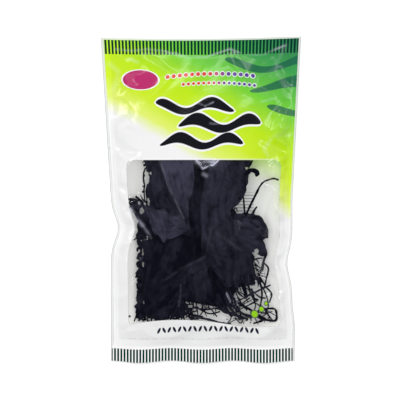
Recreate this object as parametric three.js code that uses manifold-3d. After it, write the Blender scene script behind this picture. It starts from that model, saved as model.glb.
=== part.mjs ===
// Dried thread wakame in its sealed film pouch, lying on its back.
// Millimetres, +Z up. +Y runs to the pouch's top seal and +X to the right of its printed front.
// The origin is on the surface that the pouch lies on, under the middle of the pouch.

import * as THREE from "three";
import { mergeVertices } from "three/addons/utils/BufferGeometryUtils.js";
import Module from "manifold-3d";

const wasm = await Module();
wasm.setup();

// Driving dimensions of the pouch. Heights along the pouch are +Y, and the surface it lies on is at 0.
const pouch = {
  halfTop: 100, // half its width across the top seal
  halfFill: 91, // half its width where the wakame fills it
  footWider: 2.5, // how much wider its right side is at the foot
  footFrom: -80, // its right side starts to widen here
  footTo: -130, // and has widened here
  top: 163.6, // its top edge
  bottom: -162.4, // its bottom edge, before the foot's wave
  film: 0.8, // thickness of each film
  sealGap: 0.3, // between the two films where they are sealed
  sealShare: 0.955, // share of the half width where the side seals start
  topSeal: 148, // inner edge of the top seal
  topFull: 30, // the filling has its full height below this
  bottomSeal: -146, // inner edge of the bottom seal
  bottomFull: -84, // the filling has its full height above this
  frontRise: 19, // how far the front film bulges above the seals
  sideLift: 8.5, // height of the side seals above the surface
  endLift: 3, // height of the end seals above the surface
  crown: 3.4, // power of the front film's curve from side to side
  backFlat: 1.5, // how soon the back film flattens on the surface
};
const dents = {
  left: { y: -28, depth: 7, reach: 16 }, // where the left side is drawn in
  right: { y: -63, depth: 5, reach: 17 }, // where the right side is drawn in
};
const footWave = { lift: 1.6, drop: 1.2, length: 62, phase: 0.6, fade: 40 }; // the wave along the bottom seal
const filmGrid = { across: 14, along: 24 };

// The wakame lies in layers between the films. A share is 0 at the back film and 1 at the front film.
const layers = { back: 0.17, lower: 0.44, folded: 0.68, upper: 0.87 };
const sheet = {
  columns: 8,
  half: 0.032, // half its thickness at the middle, as a share of the space between the films
  leastHalf: 0.45, // half its thickness at the thinnest, in millimetres
  wave: 0.024, // height of its lengthwise ridges, as a share
  swing: 1.4, // how far the ridges swing from side to side, in radians of the wave
  swings: 5, // radians of that swing from head to tail
  thinning: 0.65, // how much thinner it is at its edges
  ragged: 2.4, // how far its torn edges wander
};
const strip = {
  rows: 4,
  halfWidth: [1.8, 4.2],
  inside: 0.16, // how far up the bundle it starts, as a share of the bundle's length
  past: [4, 13], // how far it runs past the bundle's end
  drift: 0.3, // how far it drifts sideways, as a share of the bundle's half width
  spread: 0.02, // how far it lies over or under the middle of the sheet, as a share
  ragged: 0.7,
  furthest: 0.85, // the furthest from the bundle's middle line, as a share of its half width
  tip: 0.5, // width of its tip, as a share of its width
};
const strandShape = { sides: 3, steps: 5, radius: 0.85, slim: 0.7, stout: 1.2 };
const fringeShape = { root: 0.8, knee: 0.4, lean: [-0.02, 0.04], length: [0.5, 1.5] };
const smallest = 0.08; // slivers under this size are smoothed away where blades and strands join

// Each bundle is a pressed sheet of fronds: points of its middle line with its half width there, from its
// head down, and how many cut strips run past its head and its tail.
const bundles = {
  wakame_back: {
    colour: 0x1c1b28,
    layer: layers.back, rows: 12, ridges: 3, seed: 3, stout: 1.9, strips: { head: 5, tail: 7 },
    path: [[-5, 92, 26], [-5, 35, 40], [-3, -20, 50], [-6, -70, 50], [-20, -104, 36]],
  },
  wakame_lower: {
    colour: 0x171722,
    layer: layers.lower, rows: 14, ridges: 4, seed: 6, stout: 1.8, strips: { head: 0, tail: 9 },
    path: [[-2, -8, 44], [-3, -45, 56], [-6, -74, 55], [-18, -94, 44], [-28, -110, 34]],
  },
  wakame_left_fold: {
    colour: 0x302e3e,
    layer: layers.folded, rows: 10, ridges: 2, seed: 8, stout: 1, strips: { head: 3, tail: 2 },
    path: [[-68, 2, 5], [-60, -5, 9], [-44, -19, 16], [-24, -32, 15], [-10, -40, 8]],
  },
  wakame_right_fold: {
    colour: 0x2a2935,
    layer: layers.folded, rows: 10, ridges: 2, seed: 13, stout: 1, strips: { head: 0, tail: 2 },
    path: [[14, -22, 9], [34, -26, 16], [50, -31, 17], [59, -36, 13], [64, -40, 7]],
  },
  wakame_upper_left: {
    colour: 0x31303e,
    layer: layers.upper, rows: 14, ridges: 3, seed: 21, stout: 1, strips: { head: 7, tail: 5 },
    path: [[-30, 95, 13], [-31, 60, 21], [-31, 20, 22], [-29, -14, 19], [-19, -38, 9]],
  },
  wakame_upper_right: {
    colour: 0x282734,
    layer: layers.upper, rows: 16, ridges: 3, seed: 34, stout: 1, strips: { head: 7, tail: 6 },
    path: [[33, 98, 13], [27, 60, 20], [23, 20, 21], [18, -18, 20], [16, -60, 18], [19, -84, 11]],
  },
};

// Loose strands that stand out of a bundle, as points [x, y, share], from the root in the bundle to the tip
const strays = {
  wakame_right_fold: [
    [[40, -24, 0.68], [45, -8, 0.66], [49, 6, 0.68], [57, 17, 0.72], [67, 21, 0.76], [75, 19, 0.76]],
    [[42, -24, 0.68], [40, -10, 0.64], [39, 12, 0.62]],
    [[44, -26, 0.68], [49, -12, 0.68], [54, -4, 0.7]],
  ],
  wakame_upper_right: [
    [[38, 30, 0.87], [46, 26, 0.87], [52, 28, 0.87], [56, 23, 0.86]],
    [[36, 44, 0.87], [45, 34, 0.87], [50, 41, 0.87], [53, 47, 0.86]],
  ],
  wakame_upper_left: [
    [[-44, 56, 0.87], [-54, 44, 0.86], [-56, 24, 0.85], [-54, 6, 0.86], [-42, -2, 0.87]],
    [[-44, 14, 0.87], [-53, 10, 0.86], [-54, -4, 0.86], [-42, -10, 0.87]],
  ],
  wakame_left_fold: [
    [[-52, -8, 0.68], [-60, 2, 0.69], [-66, 6, 0.7], [-73, 3, 0.7]],
    [[-52, -14, 0.68], [-64, -12, 0.68], [-72, -4, 0.69]],
  ],
  wakame_lower: [
    [[38, -76, 0.46], [62, -92, 0.6], [66, -100, 0.62], [60, -108, 0.6], [62, -116, 0.6]],
    [[34, -82, 0.46], [54, -98, 0.6], [72, -94, 0.62], [76, -112, 0.62], [74, -120, 0.62], [50, -118, 0.6]],
    [[42, -66, 0.46], [58, -76, 0.55], [66, -74, 0.58], [64, -84, 0.58], [59, -98, 0.56]],
    [[-14, -110, 0.44], [10, -118, 0.55], [28, -123, 0.6], [40, -126, 0.6]],
  ],
};

// Rows of short strands along one side of a bundle: from and to are shares of its length
const fringes = {
  wakame_lower: [
    { side: -1, from: 0.2, to: 0.97, count: 14, reach: 7 },
    { side: 1, from: 0.35, to: 0.6, count: 5, reach: 9 },
  ],
  wakame_upper_left: [{ side: -1, from: 0.3, to: 0.72, count: 5, reach: 4 }],
  wakame_upper_right: [{ side: 1, from: 0.2, to: 0.5, count: 5, reach: 4 }],
  wakame_left_fold: [{ side: 1, from: 0.1, to: 0.5, count: 4, reach: 5 }],
  wakame_right_fold: [{ side: -1, from: 0.5, to: 0.9, count: 4, reach: 4 }],
};

// The tangle at the lower right: strands from the lower bundle's edge to tips that fall in a box of the plan
const tangle = {
  bundle: "wakame_lower",
  rootS: [0.45, 0.98],
  rootT: [0.3, 0.85],
  tipX: [-10, 72],
  tipY: [-124, -84],
  tipShare: 0.66,
  bend: 8,
  count: 22,
};

const filmColours = { front: 0xeef1e4, back: 0xf1f1ef };

// The pouch's shape

const clamp01 = (value) => THREE.MathUtils.clamp(value, 0, 1);
const dentAt = ({ y, depth, reach }, at) => depth * Math.exp(-(((at - y) / reach) ** 2));

// The pouch's left and right sides at a height along it
function sides(y) {
  const half = pouch.halfFill + (pouch.halfTop - pouch.halfFill) * Math.max(0, y / pouch.top);
  const foot = pouch.footWider * THREE.MathUtils.smoothstep(-y, -pouch.footFrom, -pouch.footTo);
  return { left: -half + dentAt(dents.left, y), right: half + foot - dentAt(dents.right, y) };
}

// How full the pouch is at a height along it, from 0 at the end seals to 1
function fill(y) {
  const foot = clamp01((y - pouch.bottomSeal) / (pouch.bottomFull - pouch.bottomSeal));
  const head = clamp01((pouch.topSeal - y) / (pouch.topSeal - pouch.topFull));
  return Math.sin((foot * Math.PI) / 2) * Math.sin((head * Math.PI) / 2);
}

// How far the films stand apart from side to side, from 0 at the side seals to 1 at the middle
function across(x, y) {
  const { left, right } = sides(y);
  const fromMiddle = Math.abs((2 * (x - left)) / (right - left) - 1) / pouch.sealShare;
  return Math.max(0, 1 - fromMiddle ** pouch.crown);
}

// How much of the foot's wave there is at a height along the pouch
const nearFoot = (y) => clamp01((pouch.bottomFull - footWave.fade - y) / footWave.fade);

// Height of the middle of the seals
function sealHeight(x, y) {
  const wave = footWave.lift * Math.sin((2 * Math.PI * x) / footWave.length + footWave.phase);
  return pouch.endLift + (pouch.sideLift - pouch.endLift) * fill(y) + wave * nearFoot(y);
}

const sealHalf = pouch.sealGap / 2 + pouch.film;

// Outer face of the front film
function frontHeight(x, y) {
  return sealHeight(x, y) + sealHalf + pouch.frontRise * fill(y) * across(x, y);
}

// Outer face of the back film, flat on the surface in the middle
function backHeight(x, y) {
  return (sealHeight(x, y) - sealHalf) * (1 - clamp01(pouch.backFlat * fill(y) * across(x, y)));
}

// Clear height between the films
function room(x, y) {
  return frontHeight(x, y) - backHeight(x, y) - 2 * pouch.film;
}

// A point between the films at a share of the clear height
function between(x, y, share) {
  return new THREE.Vector3(x, y, backHeight(x, y) + pouch.film + share * room(x, y));
}

// Solids

// A closed sheet between two grids of points, split into triangles alike on both faces
function slab(upper, lower) {
  const rows = upper.length - 1;
  const columns = upper[0].length - 1;
  const at = (row, column) => row * (columns + 1) + column;
  const under = (rows + 1) * (columns + 1);
  const faces = [];
  for (let row = 0; row < rows; row++) {
    for (let column = 0; column < columns; column++) {
      const a = at(row, column);
      const b = at(row + 1, column);
      const c = at(row + 1, column + 1);
      const d = at(row, column + 1);
      faces.push(a, b, c, a, c, d);
      faces.push(under + a, under + c, under + b, under + a, under + d, under + c);
    }
  }
  const rim = [];
  for (let row = 0; row < rows; row++) rim.push(at(row, 0));
  for (let column = 0; column < columns; column++) rim.push(at(rows, column));
  for (let row = rows; row > 0; row--) rim.push(at(row, columns));
  for (let column = columns; column > 0; column--) rim.push(at(0, column));
  rim.forEach((a, i) => {
    const b = rim[(i + 1) % rim.length];
    faces.push(a, under + a, under + b, a, under + b, b);
  });
  const geometry = new THREE.BufferGeometry().setFromPoints([...upper.flat(), ...lower.flat()]);
  geometry.setIndex(faces);
  return geometry;
}

function solidOf(geometry) {
  geometry.deleteAttribute("normal");
  geometry.deleteAttribute("uv");
  const merged = mergeVertices(geometry);
  return new wasm.Manifold(
    new wasm.Mesh({
      numProp: 3,
      vertProperties: merged.attributes.position.array,
      triVerts: Uint32Array.from(merged.index.array),
    }),
  );
}

function geometryOf(solid) {
  const made = solid.getMesh();
  const geometry = new THREE.BufferGeometry();
  geometry.setAttribute("position", new THREE.BufferAttribute(made.vertProperties, 3));
  geometry.setIndex(new THREE.BufferAttribute(made.triVerts, 1));
  return geometry;
}

function meshOf(name, geometry, material) {
  geometry.computeVertexNormals();
  const mesh = new THREE.Mesh(geometry, material);
  mesh.name = name;
  return mesh;
}

// The two films

// One film: its outer face is a height over the plan, and its inner face lies one film's thickness off it
function film(outerHeight, inward) {
  const outer = [];
  const inner = [];
  for (let i = 0; i <= filmGrid.across; i++) {
    const u = Math.sin(Math.PI * (i / filmGrid.across - 0.5)); // closer together at the sides
    outer.push([]);
    inner.push([]);
    for (let j = 0; j <= filmGrid.along; j++) {
      const straight = pouch.bottom + ((pouch.top - pouch.bottom) * j) / filmGrid.along;
      const { left, right } = sides(straight);
      const x = (left + right) / 2 + (u * (right - left)) / 2;
      const drop = footWave.drop * Math.cos((2 * Math.PI * x) / footWave.length);
      const y = straight - drop * nearFoot(straight);
      const height = outerHeight(x, y);
      outer[i].push(new THREE.Vector3(x, y, height));
      inner[i].push(new THREE.Vector3(x, y, height + inward * pouch.film));
    }
  }
  return inward < 0 ? slab(outer, inner) : slab(inner, outer);
}

// The wakame

// A seeded source of numbers from 0 to 1
function seeded(seed) {
  let state = seed >>> 0;
  return () => {
    state = (state + 0x6d2b79f5) >>> 0;
    let mixed = Math.imul(state ^ (state >>> 15), state | 1);
    mixed ^= mixed + Math.imul(mixed ^ (mixed >>> 7), mixed | 61);
    return ((mixed ^ (mixed >>> 14)) >>> 0) / 4294967296;
  };
}

// A number drawn between two limits
const within = (random, [low, high]) => low + (high - low) * random();

// The place in plan of a bundle's point: s runs along it from 0 to 1, and t across it from -1 to 1
function planOf(path) {
  const line = new THREE.CatmullRomCurve3(path.map(([x, y, half]) => new THREE.Vector3(x, y, half)));
  const length = line.getLength();
  return (s, t, extra = 0) => {
    const held = clamp01(s);
    const middle = line.getPoint(held);
    const along = line.getTangent(held).setZ(0).normalize();
    const offset = middle.z * t + extra;
    const past = (s - held) * length;
    return new THREE.Vector2(
      middle.x + along.x * past - along.y * offset,
      middle.y + along.y * past + along.x * offset,
    );
  };
}

// A pressed blade along a path, ridged along its length and thin at its torn edges
function blade({ path, layer, rows, columns, ridges, ragged, stout, seed }, random) {
  const plan = planOf(path);
  const upper = [];
  const lower = [];
  for (let row = 0; row <= rows; row++) {
    const s = row / rows;
    const torn = [random(), random()].map((draw) => (2 * draw - 1) * ragged);
    upper.push([]);
    lower.push([]);
    for (let column = 0; column <= columns; column++) {
      const t = (2 * column) / columns - 1;
      const { x, y } = plan(s, t, t ** 6 * torn[t < 0 ? 0 : 1]);
      const ridge = Math.sin(Math.PI * ridges * t + sheet.swing * Math.sin(sheet.swings * s + seed) + seed);
      const middle = between(x, y, layer + sheet.wave * ridge * (1 - t ** 4)).z;
      const full = sheet.half * stout * room(x, y);
      const half = Math.max(sheet.leastHalf, full * (1 - sheet.thinning * t * t));
      upper[row].push(new THREE.Vector3(x, y, middle + half));
      lower[row].push(new THREE.Vector3(x, y, middle - half));
    }
  }
  return solidOf(slab(upper, lower));
}

// A cut strip that starts inside a bundle and runs out past its head or its tail
function cutStrip(bundle, end, random) {
  const plan = planOf(bundle.path);
  const half = within(random, strip.halfWidth);
  const t = within(random, [-strip.furthest, strip.furthest]);
  const tip = plan(end === "head" ? 0 : 1, t + within(random, [-strip.drift, strip.drift]));
  const root = plan(end === "head" ? strip.inside : 1 - strip.inside, t);
  const reach = root.distanceTo(tip) + within(random, strip.past);
  const far = root.clone().add(tip.clone().sub(root).setLength(reach));
  const path = [[root.x, root.y, half], [tip.x, tip.y, half], [far.x, far.y, half * strip.tip]];
  const layer = bundle.layer + within(random, [-strip.spread, strip.spread]);
  const shape = { rows: strip.rows, columns: 1, ridges: 0, ragged: strip.ragged, stout: 1, seed: 0 };
  return blade({ path, layer, ...shape }, random);
}

// A strand through points [x, y, share], as a slim tube
function strand(points, radius) {
  const line = new THREE.CatmullRomCurve3(points.map(([x, y, share]) => between(x, y, share)));
  const section = new THREE.Shape(
    Array.from({ length: strandShape.sides }, (_, i) => {
      const angle = (2 * Math.PI * i) / strandShape.sides;
      return new THREE.Vector2(radius * Math.cos(angle), radius * Math.sin(angle));
    }),
  );
  const tube = { steps: strandShape.steps, extrudePath: line, bevelEnabled: false };
  return solidOf(new THREE.ExtrudeGeometry(section, tube));
}

// Short strands that stand out of one side of a bundle
function fringe(bundle, { side, from, to, count, reach }, random) {
  const plan = planOf(bundle.path);
  return Array.from({ length: count }, (_, i) => {
    const s = from + ((to - from) * (i + random())) / count;
    const lean = within(random, fringeShape.lean);
    const out = side * reach * within(random, fringeShape.length);
    const root = plan(s, side * fringeShape.root);
    const knee = plan(s + lean, side, out * fringeShape.knee);
    const tip = plan(s + 2 * lean, side, out);
    const points = [root, knee, tip].map(({ x, y }) => [x, y, bundle.layer]);
    return strand(points, strandShape.radius * strandShape.slim);
  });
}

// Strands that leave a bundle's edge and bend to tips that fall in a box of the plan
function tangleOf(bundle, random) {
  const plan = planOf(bundle.path);
  return Array.from({ length: tangle.count }, () => {
    const root = plan(within(random, tangle.rootS), within(random, tangle.rootT));
    const tip = new THREE.Vector2(within(random, tangle.tipX), within(random, tangle.tipY));
    const bends = [1 / 3, 2 / 3].map((share) => {
      const middle = root.clone().lerp(tip, share);
      middle.x += within(random, [-tangle.bend, tangle.bend]);
      middle.y = Math.max(tangle.tipY[0], middle.y + within(random, [-tangle.bend, tangle.bend]) / 2);
      return [middle.x, middle.y, bundle.layer + (tangle.tipShare - bundle.layer) * share];
    });
    const points = [[root.x, root.y, bundle.layer], ...bends, [tip.x, tip.y, tangle.tipShare]];
    return strand(points, strandShape.radius * within(random, [strandShape.slim, strandShape.stout]));
  });
}

// One bundle: its sheet with the strips and strands that grow out of it, in one body without loose scraps
function bundleSolid(name, bundle) {
  const random = seeded(bundle.seed);
  const solids = [blade({ ...bundle, columns: sheet.columns, ragged: sheet.ragged }, random)];
  for (const [end, count] of Object.entries(bundle.strips)) {
    for (let i = 0; i < count; i++) solids.push(cutStrip(bundle, end, random));
  }
  for (const points of strays[name] ?? []) solids.push(strand(points, strandShape.radius));
  for (const row of fringes[name] ?? []) solids.push(...fringe(bundle, row, random));
  if (tangle.bundle === name) solids.push(...tangleOf(bundle, random));
  const joined = wasm.Manifold.union(solids).asOriginal().simplify(smallest);
  return joined.decompose().reduce((best, next) => (next.volume() > best.volume() ? next : best));
}

// The part

const glossy = { roughness: 0.3, metalness: 0 };
const clear = { transparent: true, opacity: 0.5 };
const dry = { roughness: 0.6, metalness: 0 };

const frontFilm = new THREE.MeshStandardMaterial({ ...glossy, ...clear, color: filmColours.front });
const backFilm = new THREE.MeshStandardMaterial({ ...glossy, color: filmColours.back });

const part = new THREE.Group();
part.add(meshOf("front_film", film(frontHeight, -1), frontFilm));
part.add(meshOf("back_film", film(backHeight, 1), backFilm));
for (const [name, bundle] of Object.entries(bundles)) {
  const wakame = new THREE.MeshStandardMaterial({ ...dry, color: bundle.colour });
  part.add(meshOf(name, geometryOf(bundleSolid(name, bundle)), wakame));
}

export default part;
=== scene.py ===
import math
from functools import partialmethod

import bpy
import numpy as np
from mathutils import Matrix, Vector


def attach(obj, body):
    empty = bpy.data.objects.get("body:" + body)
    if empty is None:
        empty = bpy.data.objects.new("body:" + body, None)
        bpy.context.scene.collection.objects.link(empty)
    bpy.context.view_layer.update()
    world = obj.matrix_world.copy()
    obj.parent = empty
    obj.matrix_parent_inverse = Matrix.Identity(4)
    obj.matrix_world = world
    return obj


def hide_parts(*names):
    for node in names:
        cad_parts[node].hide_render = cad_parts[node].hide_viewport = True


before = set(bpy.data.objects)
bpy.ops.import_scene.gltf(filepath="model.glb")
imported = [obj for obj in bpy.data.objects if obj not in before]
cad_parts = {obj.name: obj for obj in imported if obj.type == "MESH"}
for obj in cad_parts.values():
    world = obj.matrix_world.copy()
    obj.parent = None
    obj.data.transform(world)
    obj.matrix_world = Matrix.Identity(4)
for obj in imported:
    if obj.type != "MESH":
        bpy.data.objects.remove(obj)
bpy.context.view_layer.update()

mm = 0.001  # the script works in millimetres, and Blender in metres
scene = bpy.context.scene


# Camera, floor and soft boxes

shot = {"height": 2.0, "lens": 180.0, "sensor": 36.0, "aimX": -0.001, "aimY": 0.0}
studio = {
    "gain": 1.045,  # light that reaches a flat white sheet
    "floorHalf": 3.0,
    "floorDrop": 0.0002,
    "floorTint": (0.93, 0.93, 0.93, 1.0),
    "floorGlow": 0.22,  # a lit table, which shows no shadow
    "floorRoughness": 0.9,
    "floorShine": 0.1,
    "skyTint": (0.06, 0.06, 0.085, 1.0),
    "skyStrength": 1.0,
}
softBoxes = {  # place in metres, width, height, watts, and whether glossy film mirrors it
    "boxOver": ((0.0, 0.0, 2.3), 2.4, 2.4, 49.2, False),
    "boxLeft": ((-1.6, 0.2, 0.75), 2.2, 0.9, 7.0, False),
    "boxRight": ((1.6, 0.1, 0.75), 2.2, 0.9, 4.2, True),
    "boxHead": ((0.0, 1.65, 0.75), 2.2, 0.9, 5.0, True),
    "boxFoot": ((0.0, -1.7, 0.6), 2.2, 0.7, 6.0, False),
    "stripLeft": ((-1.1, 0.7, 1.3), 1.0, 0.12, 3.6, True),
    "stripRight": ((1.15, 0.55, 1.2), 1.0, 0.12, 2.3, True),
    "stripHead": ((0.1, 1.2, 1.3), 1.4, 0.12, 2.5, True),
}


def setInputs(node, values):
    for name, value in values.items():
        node.inputs[name].default_value = value


def makeCamera():
    lens = bpy.data.cameras.new("camera")
    lens.lens = shot["lens"]
    lens.sensor_width = shot["sensor"]
    camera = bpy.data.objects.new("camera", lens)
    camera.location = (shot["aimX"], shot["aimY"], shot["height"])
    scene.collection.objects.link(camera)
    scene.camera = camera


def makeFloor():
    half = studio["floorHalf"]
    drop = -studio["floorDrop"]
    mesh = bpy.data.meshes.new("floor")
    corners = [(-half, -half, drop), (half, -half, drop), (half, half, drop), (-half, half, drop)]
    mesh.from_pydata(corners, [], [(0, 1, 2, 3)])
    paint = bpy.data.materials.new("palePaper")
    paint.use_nodes = True
    setInputs(paint.node_tree.nodes["Principled BSDF"], {
        "Base Color": studio["floorTint"], "Emission Color": studio["floorTint"],
        "Emission Strength": studio["floorGlow"], "Roughness": studio["floorRoughness"],
        "Specular IOR Level": studio["floorShine"],
    })
    mesh.materials.append(paint)
    floor = bpy.data.objects.new("floor", mesh)
    scene.collection.objects.link(floor)


def makeLight():
    for name, (place, width, length, watts, mirrored) in softBoxes.items():
        lamp = bpy.data.lights.new(name, "AREA")
        lamp.shape = "RECTANGLE"
        lamp.size = width
        lamp.size_y = length
        lamp.energy = watts
        box = bpy.data.objects.new(name, lamp)
        box.location = place
        box.rotation_euler = (-Vector(place)).to_track_quat("-Z", "Y").to_euler()
        box.visible_glossy = mirrored
        box.visible_camera = False
        scene.collection.objects.link(box)
    sky = bpy.data.worlds.new("studioSky")
    sky.use_nodes = True
    skyLook = {"Color": studio["skyTint"], "Strength": studio["skyStrength"]}
    setInputs(sky.node_tree.nodes["Background"], skyLook)
    scene.world = sky
    scene.view_settings.view_transform = "Standard"


makeCamera()
makeFloor()
makeLight()
print("stage: camera, floor and light set")


# Shape of the filled pouch: the solids' rule, fitted a little more closely to the outline

pouch = {
    "halfTop": 100.0, "fillLeft": 89.8, "fillRight": 91.0,
    "footWider": 2.5, "footFrom": 98.0, "footTo": 128.0,
    "top": 163.6, "bottom": -162.4, "film": 0.16, "sealGap": 0.04, "sealShare": 0.955,
    "topSeal": 153.0, "topFull": 30.0, "bottomSeal": -146.0, "bottomFull": -84.0,
    "frontRise": 19.0, "sideLift": 8.5, "endLift": 3.0, "crown": 3.4, "backFlat": 1.5,
}
dents = {"left": (-28.0, 7.0, 16.0), "right": (-63.0, 5.0, 17.0)}  # height along, depth, reach
footWave = {"lift": 1.6, "drop": 1.2, "length": 62.0, "phase": 0.6, "fade": 40.0}
scallop = {"from": -30.0, "low": 2.0, "pitch": 58.0, "peak": 154.0, "dip": 8.0, "blend": 14.0}
headSag = {"middle": 2.6, "lean": 0.75, "bow": 1.75, "from": 60.0}


def clamp01(value):
    return np.clip(value, 0.0, 1.0)


def ease(value, low, high):
    t = clamp01((value - low) / (high - low))
    return t * t * (3.0 - 2.0 * t)


def dent(y, side):
    middle, depth, reach = dents[side]
    return depth * np.exp(-(((y - middle) / reach) ** 2))


def sides(y):
    rise = np.maximum(0.0, y / pouch["top"])
    left = pouch["fillLeft"] + (pouch["halfTop"] - pouch["fillLeft"]) * rise
    right = pouch["fillRight"] + (pouch["halfTop"] - pouch["fillRight"]) * rise
    foot = pouch["footWider"] * ease(-y, pouch["footFrom"], pouch["footTo"])
    return -left + dent(y, "left"), right + foot - dent(y, "right")


def sealLine(x):  # inner edge of the top seal, straight on the left and scalloped on the right
    turn = math.pi * (x - scallop["low"]) / scallop["pitch"]
    waved = scallop["peak"] - scallop["dip"] * np.abs(np.cos(turn))
    share = ease(x, scallop["from"] - scallop["blend"], scallop["from"] + scallop["blend"])
    return pouch["topSeal"] + (waved - pouch["topSeal"]) * share


def fill(x, y):
    foot = clamp01((y - pouch["bottomSeal"]) / (pouch["bottomFull"] - pouch["bottomSeal"]))
    seal = sealLine(x)
    head = clamp01((seal - y) / (seal - pouch["topFull"]))
    return np.sin(math.pi / 2 * foot) * np.sin(math.pi / 2 * head)


def across(x, y):
    left, right = sides(y)
    share = np.abs(2.0 * (x - left) / (right - left) - 1.0) / pouch["sealShare"]
    return np.maximum(0.0, 1.0 - share ** pouch["crown"])


def nearFoot(y):
    return clamp01((pouch["bottomFull"] - footWave["fade"] - y) / footWave["fade"])


def sealHeight(x, y):
    wave = footWave["lift"] * np.sin(2 * math.pi * x / footWave["length"] + footWave["phase"])
    return pouch["endLift"] + (pouch["sideLift"] - pouch["endLift"]) * fill(x, y) + wave * nearFoot(y)


sealHalf = pouch["sealGap"] / 2 + pouch["film"]


def frontHeight(x, y):
    return sealHeight(x, y) + sealHalf + pouch["frontRise"] * fill(x, y) * across(x, y)


def backHeight(x, y):
    pressed = clamp01(pouch["backFlat"] * fill(x, y) * across(x, y))
    return (sealHeight(x, y) - sealHalf) * (1.0 - pressed)


def room(x, y):
    return frontHeight(x, y) - backHeight(x, y) - 2.0 * pouch["film"]


def between(x, y, share):  # height of a layer inside, 0 on the back film and 1 under the front
    return backHeight(x, y) + pouch["film"] + share * room(x, y)


# Creases of the front film: start, end, height and width, with valleys below zero

creases = [
    (-84, -5, -68, -22, 3.3, 6.0), (-68, -23, -77, -50, 2.4, 7.0), (-84, -33, -68, -25, -3.2, 4.5),
    (-85, -49, -74, -57, -1.8, 5.0), (-77, -50, -70, -78, 1.6, 7.0),
    (88, -63, 70, -60, -2.4, 7.0), (90, -45, 70, -60, 2.4, 7.0), (90, -84, 70, -60, 2.4, 7.0),
    (97, 84, 72, 62, 2.8, 9.0), (72, 62, 95, 50, 2.6, 9.0), (72, 62, 62, 40, 1.0, 7.0),
    (95, 67, 72, 62, -2.0, 8.0), (70, 150, 86, 92, 2.0, 7.0), (86, 150, 82, 94, -1.6, 7.0),
    (86, 92, 72, 62, 1.5, 7.0), (-92, 142, -66, 110, 2.0, 7.0), (-86, 150, -80, 104, -1.5, 7.0),
    (-62, 150, -30, 126, 1.5, 7.0), (2, 146, -8, 112, 1.4, 6.0), (30, 148, 46, 112, 1.5, 6.0),
    (60, 146, 50, 112, -1.3, 6.0), (46, 112, 72, 100, 1.2, 6.0), (-30, 126, -48, 104, 1.1, 6.0),
    (-5, 40, 2, 31, 1.3, 3.0), (17, 39, 8, 34, 1.3, 3.0), (2, 31, 8, 34, 1.0, 3.0), (4, 31, 4, 8, 0.7, 2.6),
    (-69, -11, -49, -41, 0.6, 4.0), (-39, -81, 5, -55, 0.8, 2.2), (5, -55, 10, -26, 0.7, 2.2),
    (14, -31, 39, -49, 0.7, 2.2), (-20, -84, -22, -105, 0.7, 1.8), (5, -55, 27, -89, -0.8, 3.0),
    (-60, -128, -40, -141, 1.6, 8.0), (-40, -141, -14, -132, 1.6, 8.0), (20, -131, 52, -141, 1.6, 8.0),
    (52, -141, 78, -128, 1.6, 8.0), (-14, -132, 20, -131, -1.0, 7.0), (-88, -60, -66, -92, 1.2, 9.0),
    (-88, -100, -68, -92, 1.7, 9.0), (-86, -120, -70, -132, 1.5, 8.0), (-92, 40, -76, 20, 1.8, 9.0),
    (-90, 6, -76, 20, 1.8, 9.0), (-94, 80, -70, 60, 1.7, 9.0), (-90, 58, -72, 46, -1.5, 8.0),
    (86, 10, 72, -8, 1.6, 8.0), (88, -20, 72, -8, 1.6, 8.0), (86, -104, 70, -118, 1.6, 8.0),
    (80, -136, 70, -118, 1.4, 8.0),
]
whiteningAndGlintLines = [  # painted highlights along the film's sharp folds and a few painted glints between the strands, partly the real whitening of creased film: path, half width and strength
    ([(-86, 152.4), (-70, 151), (-54, 153), (-36, 151)], 1.1, 0.16),
    ([(-36, 151), (-20, 146), (5, 145), (17, 149), (29, 153)], 0.9, 0.3),
    ([(29, 153), (42, 147), (62, 146), (73, 151), (84, 155)], 0.9, 0.32),
    ([(84, 155), (73, 131), (86, 112)], 2.0, 0.06), ([(73, 131), (56, 124)], 1.3, 0.05),
    ([(-92, 138), (-82, 129), (-89, 104)], 2.2, 0.11), ([(-80, 146), (-60, 138)], 1.5, 0.15),
    ([(4, 94), (12, 97.5)], 0.7, 0.4), ([(-6, 98), (2, 95)], 0.6, 0.25),
    ([(9, 76), (17, 75), (27, 82)], 0.7, 0.18),
    ([(79, 74), (72, 64), (93, 66)], 1.6, 0.15), ([(72, 64), (62, 50), (66, 44)], 1.5, 0.15),
    ([(-91, 52), (-85, 56)], 1.0, 0.4), ([(60, 98), (72, 101)], 1.0, 0.15),
    ([(-5, 40), (2, 31), (8, 34), (12, 34.5), (17, 39)], 0.75, 0.85), ([(-4, 38), (1, 36)], 2.6, 0.18),
    ([(4, 36.4), (12, 37.5)], 2.6, 0.52), ([(2.6, 25.5), (5, 24)], 1.7, 0.22),
    ([(-69.5, -9), (-66, -16)], 2.0, 0.3), ([(-66, -16), (-57.5, -25.5)], 1.7, 0.24),
    ([(-57.5, -25.5), (-52, -33)], 1.1, 0.15), ([(-52, -33), (-49, -38)], 0.6, 0.10),
    ([(-41.5, 39), (-37, 28), (-29, 7), (-17, -18)], 0.8, 0.07),
    ([(-55, -8), (-34, -13.5), (-17, -21.5)], 0.8, 0.024),
    ([(-39, -81), (-23, -70.5), (5, -55)], 0.8, 0.026), ([(5, -55), (10.5, -26)], 0.8, 0.022),
    ([(14.5, -31.5), (38.6, -49)], 0.8, 0.03), ([(-20.3, -83.7), (-20, -94), (-22, -105)], 0.7, 0.05),
    ([(33, -20), (35.5, -35)], 1.0, 0.022), ([(36.5, -21), (38, -30)], 0.8, 0.04),
    ([(36, -20.6), (40, -24)], 0.6, 0.1), ([(25.2, -92), (29.2, -101)], 0.6, 0.4),
    ([(34.5, -95), (36, -104)], 0.6, 0.3), ([(22, -116), (26, -121)], 1.0, 0.35),
]
creaseEnd = {"share": 0.3, "rise": 3.0}  # share of a crease's height at its ends, and how fast it grows
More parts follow.
